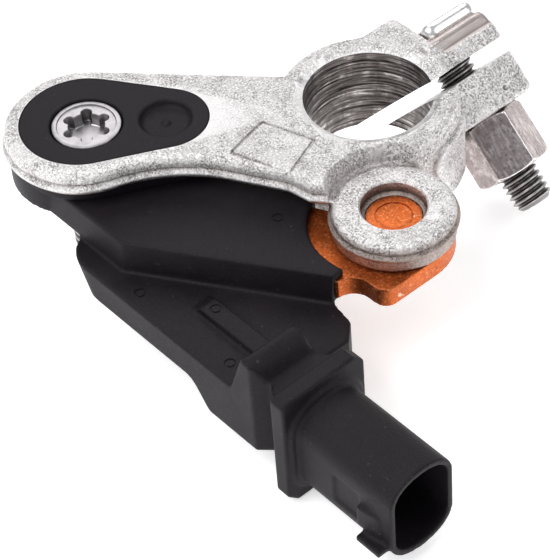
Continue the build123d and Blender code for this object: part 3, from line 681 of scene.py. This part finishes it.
def thread_graph():
    """A shank along Z from 0 to Length: Plain, then with a screw thread, and a cone at its Tip."""
    g = Graph("screw_thread")
    for name, default in BOLT_THREAD.items():
        g.socket(name, "NodeSocketFloat", default)
    g.socket("Around", "NodeSocketInt", THREAD_SIDES)
    g.socket("Rows", "NodeSocketInt", 300)
    g.socket("Finish", "NodeSocketMaterial")
    value = {n: g.source.outputs[n] for n in g.keys}
    sources = {
        "Vertices": value["Around"],
        "Side Segments": value["Rows"],
        "Radius": value["Radius"],
        "Depth": value["Length"],
    }
    shank = g.add("GeometryNodeMeshCylinder", sources, fill_type="NGON")
    at = g.add("ShaderNodeSeparateXYZ", {0: g.add("GeometryNodeInputPosition").outputs[0]}).outputs
    x, y = at[0], at[1]
    height = g.maths("ADD", at[2], g.maths("MULTIPLY", value["Length"], 0.5))
    turn = g.maths("DIVIDE", g.maths("ARCTAN2", y, x), 2 * pi)
    phase = g.maths("FRACT", g.maths("SUBTRACT", g.maths("DIVIDE", height, value["Pitch"]), turn))
    # Flank: 0 at the crest's flat, 1 at the root's flat
    off_crest = g.maths("ABSOLUTE", g.maths("SUBTRACT", phase, 0.5))
    flank = g.span(off_crest, 0.07, 0.42, 0.0, 1.0, interpolation_type="SMOOTHSTEP")
    start = g.span(g.maths("SUBTRACT", height, value["Plain"]), -0.4, 0.4, 0.0, 1.0)
    sunk = g.maths("MULTIPLY", g.maths("MULTIPLY", flank, value["Depth"]), start)
    radius = g.maths("SUBTRACT", value["Radius"], sunk)
    left = g.maths("SUBTRACT", value["Length"], height)
    cone = g.maths("MAXIMUM", g.maths("SUBTRACT", value["Tip"], left), 0.0)
    limit = g.maths("SUBTRACT", value["Radius"], cone)
    share = g.maths("DIVIDE", g.maths("MINIMUM", radius, limit), value["Radius"])
    moved = g.add(
        "ShaderNodeCombineXYZ",
        {0: g.maths("MULTIPLY", x, share), 1: g.maths("MULTIPLY", y, share), 2: height},
    )
    placed = g.add("GeometryNodeSetPosition", {"Geometry": shank.outputs["Mesh"], "Position": moved.outputs[0]})
    whole = g.add("GeometryNodeRealizeInstances", {0: placed.outputs[0]})
    dressed = g.add("GeometryNodeSetMaterial", {"Geometry": whole.outputs[0], "Material": value["Finish"]})
    g.put(g.sink.inputs[0], dressed.outputs[0])
    return g


def threaded_shank(name, thread, place):
    rows = int(thread["Length"] / thread["Pitch"] * THREAD_ROWS)
    obj = once(thread_graph).run(name, **thread, Around=THREAD_SIDES, Rows=rows, Finish=once(thread_steel))
    obj.data.transform(place)
    return obj


# Outlines and cutters that the pieces share


def arm_outline():
    """The arm in plan, counter-clockwise: loop, curved waist, near edge, then through the boss and the ring."""
    start, end = 42.5, 252.0
    loop = arc(LOOP, LOOP_R, start, end, 72)
    heading = radians(end + 90)
    waist_r, turn, steps = 22.0, radians(42.9), 24
    centre = Vector(loop[-1]) + Vector((sin(heading), -cos(heading))) * waist_r
    first = atan2(loop[-1][1] - centre.y, loop[-1][0] - centre.x)
    angles = [first - turn * i / steps for i in range(1, steps + 1)]
    waist = [centre + Vector((cos(a), sin(a))) * waist_r for a in angles]
    heading -= turn
    near_end = waist[-1] + Vector((cos(heading), sin(heading))) * 8.4
    far_length = LOOP.y / cos(radians(start))
    far_end = Vector(loop[0]) + Vector((sin(radians(start)), -cos(radians(start)))) * far_length
    near_boss, bore = Vector((-18.2, -8.0)), Vector((0, 0))
    return [Vector(p) for p in loop] + waist + [near_end, near_boss, BOSS.copy(), bore, far_end]


def pear_outline(grow=0.0):
    """Two circles with their common tangents, counter-clockwise."""
    big, small, steps = PEAR_R + grow, PEAR_SMALL_R + grow, 64
    along = PEAR_SMALL - LOOP
    lean = acos((big - small) / along.length)
    base = atan2(along.y, along.x)
    first, last = base + lean, base - lean + 2 * pi
    out = []
    for i in range(steps + 1):
        a = first + (last - first) * i / steps
        out.append(LOOP + Vector((cos(a), sin(a))) * big)
    for i in range(steps // 2 + 1):
        a = base - lean + 2 * lean * i / (steps // 2)
        out.append(PEAR_SMALL + Vector((cos(a), sin(a))) * small)
    return out


def lobed_outline(grow):
    """The six-lobed recess, about the stud's axis: a core circle with a small circle at each lobe."""
    core, lobe, reach, steps = 2.65 + grow, 0.85 + grow, 2.75, 180
    out = []
    for i in range(steps):
        a = 2 * pi * i / steps
        off = (a + radians(38)) % (pi / 3) - pi / 6
        r = core
        if abs(reach * sin(off)) < lobe:
            r = max(r, reach * cos(off) + sqrt(lobe**2 - (reach * sin(off)) ** 2))
        out.append((STUD.x + r * cos(a), STUD.y + r * sin(a)))
    return out


def ring_groove(name, outer, inner, depth, at):
    """A cutter for a round groove in a level face at the point."""
    steps, place = 32, Matrix.Translation(at)
    shell = lathe(name, [(outer, -depth), (outer, 0.4)], steps, place)
    return cut(shell, lathe("core", [(inner, -depth - 1), (inner, 1.0)], steps, place))


def label_groove():
    """A cutter for the bare field's frame: a shallow groove with sloping walls."""
    label = resample(LABEL, 0.5)
    groove = offset_stack("label", label, [(0.20, -0.25), (0.50, 0.1), (0.52, 0.6)])
    island = offset_stack("island", label, [(0.12, -0.6), (-0.02, -0.28), (-0.3, 0.12), (-0.8, 0.9)])
    return cut(groove, island, solver="MANIFOLD")


def bore_cutter():
    """The bore with its lead, straight land and taper, rippled by the turning tool."""
    foot, rows = -RING_H - 1, 120
    profile = []
    for i in range(rows + 1):
        z = foot + (-BORE_LEAD_H - foot) * i / rows
        below_land = max(0.0, -BORE_LEAD_H - BORE_LAND - z)
        r = BORE_MOUTH_R - below_land * BORE_TAPER
        if z < TURNED_TOP:
            r += 0.05 * max(0.0, sin(2 * pi * z / TURNED_PITCH)) + 0.03 * noise.noise((0, 0, z * 1.3))
        profile.append((r, z))
    profile += [(BORE_LEAD_R, 0.0), (BORE_LEAD_R + 0.3, 0.3)]

    def ripple(angle, height):
        if height > TURNED_TOP:
            return 0.0
        return 0.045 * noise.noise((3 * cos(angle), 3 * sin(angle), height * 0.9))

    return lathe("bore", profile, 160, None, ripple)


# Castings


def wall_panel():
    """The raised panel on the ring's wall that runs into the near ear."""
    # In degrees about the ring and height
    corners = [
        (-50, -12.9), (-50, -2.9), (-58, -3.3), (-65, -3.3), (-80, -3.1), (-86, -4.1), (-90, -5.8),
        (-88, -7.9), (-80, -10.8), (-74, -12.9),
    ]
    flat = resample([(radians(a) * RING_R, z) for a, z in corners], 0.4)
    rings = []
    for radius, out in ((11.8, 0), (13.3, 0), (13.5, -0.12), (13.6, -0.4)):
        angled = [(p[0] / RING_R, p[1]) for p in outset(flat, out)]
        rings.append([(radius * cos(a), radius * sin(a), z) for a, z in angled])
    return ring_stack("panel", rings)


def cast_ears():
    """Both ears as one block, before the slit is cut."""
    # Each is a place along the bolt, and how far the tip, the upper and the lower side stand back there
    rows = [
        (-FAR_EAR, 1.0, 1.2, 0.6), (-FAR_EAR + 0.25, 0.5, 0.85, 0.3), (-FAR_EAR + 0.8, 0.2, 0.6, 0.0),
        (-3.75, 0.0, 0.4, 0.0), (-3.35, 0.0, 0.0, 0.0), (NEAR_EAR - 0.9, 0.0, 0.0, 0.0),
        (NEAR_EAR - 0.4, 0.15, 0.12, 0.12), (NEAR_EAR - 0.12, 0.45, 0.4, 0.4), (NEAR_EAR, 0.9, 0.8, 0.8),
    ]
    rings = []
    for s, tip, upper, lower in rows:
        x1, y1 = EAR_END_X - tip, EAR_HALF - upper
        outline = rounded_box_outline(EAR_ROOT_X, lower - EAR_HALF, x1, y1, (0, EAR_TIP_R - tip, 0, 0))
        chamfer = [(x1, y1 - EAR_CHAMFER[1]), (x1 - EAR_CHAMFER[0], y1)]
        rings.append([(x, y, s) for x, y in outline[:-2] + chamfer + outline[-1:]])
    return ring_stack("ears", rings, CLAMP_FRAME)


def casting_blank(voxel, keep):
    """The clamp as it leaves the mould: closed shells that the voxel remesh joins and rounds."""
    # The walls of the arm, the ring and the boss: how far each point stands out, and its height
    arm_wall = [
        (-0.6, -ARM_T), (-0.2, -ARM_T + 0.3), (0.0, -3.25), (0.35, -3.0), (0.42, -2.75), (0.42, -2.5),
        (0.1, -2.36), (-0.42, -2.3), (-0.45, -1.95), (-0.05, -1.75), (0.02, -1.15), (-0.12, -0.7),
        (-0.42, -0.3), (-0.85, -0.06), (-1.2, 0.0),
    ]
    ring_wall = [
        (-0.6, -RING_H), (-0.15, -RING_H + 0.2), (0, -RING_H + 0.7), (0, -2.1), (-0.28, -1.85), (-0.32, -1.55),
        (-0.1, -1.3), (-0.15, -0.8), (-0.45, -0.3), (-0.85, -0.06), (-1.2, 0),
    ]
    boss_wall = [
        (-0.3, BOSS_LOW), (0, BOSS_LOW + 0.3), (0, -4.9), (0.38, -4.7), (0.38, -4.3), (-0.25, -4.15),
        (-0.25, -3.9), (0, -3.75), (-0.05, -3.6), (-0.35, -3.0), (-0.9, BOSS_TOP - 0.05), (-1.4, BOSS_TOP),
    ]
    cove = [(0.15, BOSS_TOP - 0.3), (0.25, BOSS_TOP), (0.5, -1.2), (1.1, 0.3)]
    arm = offset_stack("arm", resample(arm_outline(), 0.5), arm_wall)
    ring = lathe("ring", [(RING_R + out, z) for out, z in ring_wall])
    root_outline = rounded_box_outline(0, ROOT_Y0, ROOT_X, ROOT_Y1, (0, 0, 1.2, 0))
    root = prism("root", root_outline, -ROOT_H, 0)
    for shell in (arm, ring, root):
        cut(shell, lathe("cove", [(BOSS_R + out, z) for out, z in cove], place=AT_BOSS))
    boss = lathe("boss", [(BOSS_R + out, z) for out, z in boss_wall], place=AT_BOSS)
    web = box("web", (8.2, -1, 1.4), (12, EAR_HALF - 0.05, NEAR_EAR - 0.1), CLAMP_FRAME)
    blank = joined("clamp_casting", [arm, ring, root, cast_ears(), boss, web, wall_panel()])
    return rounded(blank, voxel, 4, keep)


class SENSOR_OT_clamp_casting(bpy.types.Operator):
    """Cast clamp: arm and loop, boss, ring with its bore, root block and two ears"""

    bl_idname = "sensor.clamp_casting"
    bl_label = "Clamp casting"

    def execute(self, context):
        sizes = context.scene.sensor_sizes
        body = casting_blank(sizes.casting_voxel, sizes.casting_keep)
        uneven(body, 3.5, 0.045)
        pit = [(0.12, 5.72), (0.32, 5.82), (0.42, 6.0), (0.5, 6.4)]
        boss_hole = [
            (3.95, -8), (3.95, -4.62), (4.2, -4.36), (BOSS_HOLE_R, -4.3), (BOSS_HOLE_R, BOSS_TOP - 0.25),
            (BOSS_HOLE_R + 0.4, BOSS_TOP + 0.15),
        ]
        cut(
            body,
            bore_cutter(),
            box("slit", (-0.5, -12, -SLIT_W / 2), (30, 12, SLIT_W / 2), CLAMP_FRAME),
            lathe("bolt_hole", [(BOLT_HOLE_R, -8), (BOLT_HOLE_R, 9)], 48, BOLT_FRAME),
            lathe("spot_face", [(SPOT_FACE_R, NEAR_EAR), (SPOT_FACE_R, NEAR_EAR + 10)], 64, BOLT_FRAME),
            lathe("pit", pit, 14, PIT_FRAME),
            prism("pear", pear_outline(), -6, 1),
            lathe("boss_hole", boss_hole, place=AT_BOSS),
            label_groove(),
            solver="MANIFOLD",
        )
        hand_over(body, "clamp_casting", "sensor", tinned_casting, ["pole_clamp"], 40)
        # The turned bore is duller and darker than the tinned skin, and the far ear's outer strip is smooth
        for make in (machined_bore, smooth_casting):
            body.data.materials.append(once(make))
        to_clamp = CLAMP_FRAME.inverted()
        for face in body.data.polygons:
            c, n = face.center / MM, face.normal
            out = hypot(c.x, c.y)
            inward = (c.x * n.x + c.y * n.y) < -0.5 * out
            if out < BORE_MOUTH_R + 0.3 and c.z < -BORE_LEAD_H and inward:
                face.material_index = BORE_SLOT
            at = to_clamp @ c
            if at.x > ROOT_X + 0.1 and at.z < STRIP_END:
                face.material_index = STRIP_SLOT
        return {"FINISHED"}


# Bolt and nut


class SENSOR_OT_bolt_and_nut(bpy.types.Operator):
    """T-headed bolt through the ears and the hexagon nut on it"""

    bl_idname = "sensor.bolt_and_nut"
    bl_label = "Bolt and nut"

    def execute(self, context):
        outline = rounded_box_outline(HEAD_IN, -HEAD_HALF, HEAD_OUT, HEAD_HALF, (1.6, 1.9, 1.9, 1.6))
        dome = [
            (-1.5, -2.3), (-1.0, -2.24), (-0.55, -2.05), (-0.22, -1.75), (-0.04, -1.35), (0.0, -0.9),
            (0.0, -0.5), (-0.08, -0.22), (-0.3, 0.0),
        ]
        levels = [(out, s - FAR_EAR) for out, s in dome]
        head = offset_stack("head", resample(outline, 0.35), levels, CLAMP_FRAME)
        hand_over(head, "bolt_head", "bolt", bright_head)
        start = BOLT_FRAME @ Matrix.Translation((0, 0, -FAR_EAR - 0.4))
        shank = threaded_shank("bolt_thread", BOLT_THREAD, start)
        hand_over(shank, "bolt_thread", "bolt", thread_steel, ["clamp_bolt"], 60)

        flat, corner, end = NUT_FLATS / 2, NUT_FLATS / sqrt(3), NUT_SEAT + NUT_H
        angles = [radians(30 + 60 * i) for i in range(6)]
        nut = prism("nut", [(corner * cos(a), corner * sin(a)) for a in angles], NUT_SEAT, end, BOLT_FRAME)
        turned = [
            (flat - 0.1, NUT_SEAT), (flat + 0.15, NUT_SEAT + 0.12), (corner + 0.3, NUT_SEAT + NUT_CONE),
            (corner + 0.3, end - NUT_CONE), (flat + 0.15, end - 0.12), (flat - 0.1, end),
        ]
        cut(nut, lathe("cone", turned, place=BOLT_FRAME), operation="INTERSECT")
        hole = [
            (3.45, NUT_SEAT - 1), (3.45, NUT_SEAT), (3.02, NUT_SEAT + 0.45), (3.02, end - 0.5), (3.5, end),
            (3.5, end + 1),
        ]
        cut(nut, lathe("hole", hole, 48, BOLT_FRAME))
        rounded(nut, 0.14, 6)
        hand_over(nut, "nut", "nut", plated_steel, ["clamp_nut"])
        return {"FINISHED"}


# Insert and stud


class SENSOR_OT_insert_and_stud(bpy.types.Operator):
    """Insulating insert in the loop, and the ground cable's stud with its six-lobed head"""

    bl_idname = "sensor.insert_and_stud"
    bl_label = "Insert and stud"

    def execute(self, context):
        levels = [
            (0.95, DECK_Z), (0.95, -ARM_T), (-0.015, -ARM_T), (-0.015, -0.12), (-0.055, -0.04), (-0.155, 0.0),
        ]
        rings = [[(p.x, p.y, z) for p in pear_outline(out)] for out, z in levels]
        insert = ring_stack("insert", rings)
        dimple = [
            (1.2, -1.1), (2.6, -1.04), (3.1, -0.94), (3.42, -0.72), (3.58, -0.42), (3.68, -0.16),
            (3.84, -0.03), (4.02, 0.03), (4.3, 0.2),
        ]
        cut(
            insert,
            lathe("dimple", dimple, 72, AT_SMALL),
            lathe("seat", [(5.12, -3.3), (5.12, -0.16), (5.34, 0.1)], place=AT_STUD),
            lathe("shank_hole", [(4.3, DECK_Z - 1), (4.3, -3.0)], 72, AT_STUD),
        )
        cut(insert, lathe("pip", [(0.62, -1.2), (0.54, -0.84), (0.36, -0.74)], 24, AT_SMALL), operation="UNION")
        rounded(insert, 0.18, 2, 0.5)
        hand_over(insert, "insert_moulding", "sensor", moulded_plastic, ["insulating_insert"])

        head_profile = [(5.0, -3.3), (5.0, -0.62), (4.95, -0.36), (4.82, -0.18), (4.62, -0.1), (4.2, -0.1)]
        head = lathe("stud_head", head_profile, place=AT_STUD)
        recess = [(-0.4, -2.3), (-0.28, -2.2), (-0.2, -1.9), (-0.12, -0.55), (-0.04, -0.38), (0.1, -0.2)]
        cut(
            head,
            lathe("sink", [(4.0, -0.34), (4.12, -0.3), (4.24, -0.06), (4.3, 0.2)], place=AT_STUD),
            ring_stack("lobes", [[(x, y, z) for x, y in lobed_outline(grow)] for grow, z in recess]),
        )
        hand_over(head, "stud_head", "sensor", stud_head_steel)
        shoulder = lathe("shoulder", [(4.28, COPPER_LOW), (4.28, -3.3)], 64, AT_STUD)
        hand_over(shoulder, "stud_shoulder", "sensor", stud_head_steel)
        down = Matrix.Translation((STUD.x, STUD.y, COPPER_LOW)) @ Matrix.Rotation(pi, 4, "X")
        shank = threaded_shank("stud_thread", STUD_THREAD, down)
        hand_over(shank, "stud_thread", "sensor", thread_steel, ["terminal_stud"], 60)
        return {"FINISHED"}


# Copper, mouldings and electronics


def dress_nodes(make, *nodes):
    """Gives CAD nodes that stay their finish."""
    for node in nodes:
        dress(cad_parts[node], make)


class SENSOR_OT_copper_bars(bpy.types.Operator):
    """Stamped bar under the boss with its stub, the measuring strip and the bar to the stud"""

    bl_idname = "sensor.copper_bars"
    bl_label = "Copper bars"

    def execute(self, context):
        bar = rounded(copy_of_node("clamp_busbar", "bar"), 0.2, 3, 0.6)
        cut(bar, ring_groove("dish", 2.65, 2.3, 0.14, (*BOSS, STUB_TOP)), solver="MANIFOLD")
        hand_over(bar, "clamp_side_bar", "sensor", bare_copper, ["clamp_busbar"])
        dress_nodes(bare_copper, "cable_busbar")
        dress_nodes(resistance_alloy, "shunt_strip")
        return {"FINISHED"}


class SENSOR_OT_housing(bpy.types.Operator):
    """Black housing: deck, bay, rib and hump, neck, flange and plug socket"""

    bl_idname = "sensor.housing"
    bl_label = "Housing"

    def execute(self, context):
        sizes = context.scene.sensor_sizes
        body = rounded(copy_of_node("sensor_housing", "housing"), sizes.housing_voxel, 4)
        # The hump behind the flange is rounder than the rest
        low, high = HUMP_BOX
        with editing(body.data) as bm:
            hump = [v for v in bm.verts if all(low[k] < v.co[k] < high[k] for k in range(3))]
            for _ in range(HUMP_PASSES):
                bmesh.ops.smooth_vert(bm, verts=hump, factor=0.5, use_axis_x=True, use_axis_y=True, use_axis_z=True)
        modified(body, "DECIMATE", ratio=sizes.housing_keep)
        cut(body, *[ring_groove("mark", 0.85, 0.55, 0.13, at) for at in EJECTOR_MARKS], solver="MANIFOLD")
        hand_over(body, "housing_moulding", "sensor", moulded_plastic, ["sensor_housing"], 50)
        cover = softened(copy_of_node("housing_cover", "cover"), 0.15, 2, 28)
        hand_over(cover, "cover_moulding", "sensor", moulded_plastic, ["housing_cover"])
        dress_nodes(sealant, "cover_seal")
        return {"FINISHED"}


class SENSOR_OT_electronics(bpy.types.Operator):
    """Board, packages, pins and their carrier"""

    bl_idname = "sensor.electronics"
    bl_label = "Electronics"

    def execute(self, context):
        dress_nodes(chip_package, "sensor_chip", "bus_chip", "protection_diode")
        dress_nodes(ceramic_body, "thermistor", "filter_capacitors")
        dress_nodes(tinned_pin, "sense_pin_cable_side", "sense_pin_clamp_side", "supply_pin", "data_pin")
        dress_nodes(board_laminate, "circuit_board")
        dress_nodes(moulded_plastic, "pin_carrier")
        return {"FINISHED"}


# Stage


def softbox(name, place, target, size, power):
    light = bpy.data.lights.new(name, "AREA")
    light.shape = "RECTANGLE"
    light.size, light.size_y = size
    light.energy = power
    obj = add_object(name, light)
    obj.location = place
    obj.rotation_euler = (Vector(target) - obj.location).to_track_quat("-Z", "Y").to_euler()


def pale_floor():
    f = Finish(
        "pale_floor",
        Roughness=0.9,
        Specular_IOR_Level=0.1,
        Emission_Color=(*WHITE, 1),
        Emission_Strength=bpy.context.scene.sensor_look.floor_glow,
    )
    f.put(f.shader["Base Color"], f.ramp(f.noise(0.004, 2.0), (0.3, 0.90), (0.7, 0.93)))
    return f.material


def photo_camera():
    """The photograph's camera: its place and heading in the row frame, its roll and its lens."""
    elevation, roll, heading = radians(45.25), radians(-4.7), radians(38.1)
    # Distance in mm, then the row origin's place in the picture and the focal length in pixels
    distance, origin_x, origin_y, focal = 347.0, 368.2, 92.9, 2500.0
    right = Vector((1, 0, 0))
    forward = Vector((0, cos(elevation), -sin(elevation)))
    up = Vector((0, sin(elevation), cos(elevation)))
    right_rolled = right * cos(roll) + up * sin(roll)
    up_rolled = -right * sin(roll) + up * cos(roll)
    across = (origin_x - PHOTO_W / 2) / focal * distance
    above = -(origin_y - PHOTO_H / 2) / focal * distance
    place = -(right_rolled * across + up_rolled * above + forward * distance)
    turn = Matrix.Rotation(-heading, 3, "Z")
    axes = Matrix((turn @ right_rolled, turn @ up_rolled, -(turn @ forward))).transposed()
    camera = bpy.data.cameras.new("photo_camera")
    camera.sensor_fit = "HORIZONTAL"
    camera.sensor_width = SENSOR_WIDTH
    camera.lens = focal * SENSOR_WIDTH / PHOTO_W
    camera.clip_start, camera.clip_end = 0.01, 10.0
    obj = add_object("photo_camera", camera)
    obj.matrix_world = Matrix.Translation(turn @ place * MM) @ axes.to_4x4()
    bpy.context.scene.camera = obj


class SENSOR_OT_stage(bpy.types.Operator):
    """Pale floor, soft studio light and the photograph's camera"""

    bl_idname = "sensor.stage"
    bl_label = "Stage"

    def execute(self, context):
        scene, look = context.scene, context.scene.sensor_look
        half, level = 4.0, CAD_BOX[0].z
        corners = [(-half, -half), (half, -half), (half, half), (-half, half)]
        floor = mesh_object("floor", [(x, y, level) for x, y in corners], [(0, 1, 2, 3)])
        floor.data.materials.append(pale_floor())
        world = bpy.data.worlds.new("studio")
        world.use_nodes = True
        back = world.node_tree.nodes["Background"].inputs
        back["Color"].default_value = (0.95, 0.96, 1.0, 1)
        back["Strength"].default_value = look.sky
        scene.world = world
        centre = (-0.01, -0.01, -0.01)
        softbox("key", (-0.45, 0.10, 0.62), centre, (0.5, 0.5), look.key)
        softbox("beyond", (0.38, 0.50, 0.60), centre, (0.8, 0.55), look.beyond)
        softbox("side", (0.35, -0.45, 0.42), centre, (0.45, 0.4), look.side)
        scene.view_settings.view_transform = "Standard"
        scene.view_settings.look = "None"
        photo_camera()
        return {"FINISHED"}


# Settings, panel and registration


class SensorSizes(bpy.types.PropertyGroup):
    casting_voxel: FloatProperty(
        name="Casting voxel", description="Grain of the casting's mesh, in millimetres", default=0.22, min=0.1
    )
    casting_keep: FloatProperty(
        name="Casting faces kept", description="Share of the casting's faces kept", default=0.5, min=0.05, max=1.0
    )
    housing_voxel: FloatProperty(
        name="Housing voxel", description="Grain of the housing's mesh, in millimetres", default=0.24, min=0.1
    )
    housing_keep: FloatProperty(
        name="Housing faces kept", description="Share of the housing's faces kept", default=0.3, min=0.05, max=1.0
    )


class SensorLook(bpy.types.PropertyGroup):
    casting_colour: FloatVectorProperty(
        name="Casting", description="Tin on the open faces", subtype="COLOR", default=(0.86, 0.835, 0.825)
    )
    casting_dark: FloatVectorProperty(
        name="Casting, dull", description="Tin in the dull patches", subtype="COLOR", default=(0.64, 0.61, 0.60)
    )
    casting_rough: FloatProperty(
        name="Casting roughness", description="Mean roughness of the tin", default=0.40, min=0.05, max=1.0
    )
    steel_colour: FloatVectorProperty(
        name="Nut", description="Plated steel", subtype="COLOR", default=(0.52, 0.455, 0.445)
    )
    copper_colour: FloatVectorProperty(
        name="Copper", description="Bare copper", subtype="COLOR", default=(0.64, 0.145, 0.033)
    )
    plastic_colour: FloatVectorProperty(
        name="Plastic", description="Black moulding", subtype="COLOR", default=(0.0078, 0.0056, 0.0076)
    )
    plastic_rough: FloatProperty(
        name="Plastic roughness", description="Mean roughness of the plastic", default=0.5, min=0.05, max=1.0
    )
    plastic_gloss: FloatProperty(
        name="Plastic gloss", description="Specular level of the plastic", default=0.165, min=0.0, max=1.0
    )
    floor_glow: FloatProperty(
        name="Floor glow", description="Light of the floor itself, as of a light table", default=0.5, min=0.0
    )
    sky: FloatProperty(name="Sky", description="Strength of the surrounding light", default=0.42, min=0.0)
    key: FloatProperty(
        name="Key light", description="Power of the softbox on the left", default=4.2, min=0.0, unit="POWER"
    )
    beyond: FloatProperty(
        name="Far light", description="Power of the softbox beyond the object", default=3.1, min=0.0, unit="POWER"
    )
    side: FloatProperty(
        name="Side light", description="Power of the softbox on the right", default=1.0, min=0.0, unit="POWER"
    )


class SENSOR_PT_panel(bpy.types.Panel):
    """The sensor's pieces and settings"""

    bl_idname = "SENSOR_PT_panel"
    bl_label = "Battery Sensor"
    bl_space_type = "VIEW_3D"
    bl_region_type = "UI"
    bl_category = "Battery Sensor"

    def draw(self, context):
        for group in (context.scene.sensor_sizes, context.scene.sensor_look):
            for key in group.bl_rna.properties.keys():
                if key not in ("rna_type", "name"):
                    self.layout.prop(group, key)
        for operator in PIECES:
            self.layout.operator(operator.bl_idname)


PIECES = (
    SENSOR_OT_clamp_casting,
    SENSOR_OT_bolt_and_nut,
    SENSOR_OT_insert_and_stud,
    SENSOR_OT_copper_bars,
    SENSOR_OT_housing,
    SENSOR_OT_electronics,
    SENSOR_OT_stage,
)
CLASSES = (SensorSizes, SensorLook, *PIECES, SENSOR_PT_panel)


def register():
    for cls in CLASSES:
        bpy.utils.register_class(cls)
    bpy.types.Scene.sensor_sizes = PointerProperty(type=SensorSizes)
    bpy.types.Scene.sensor_look = PointerProperty(type=SensorLook)


def unregister():
    del bpy.types.Scene.sensor_look
    del bpy.types.Scene.sensor_sizes
    for cls in reversed(CLASSES):
        bpy.utils.unregister_class(cls)


def main():
    register()
    for operator in PIECES:
        group, name = operator.bl_idname.split(".")
        getattr(getattr(bpy.ops, group), name)()


if __name__ == "__main__":
    main()
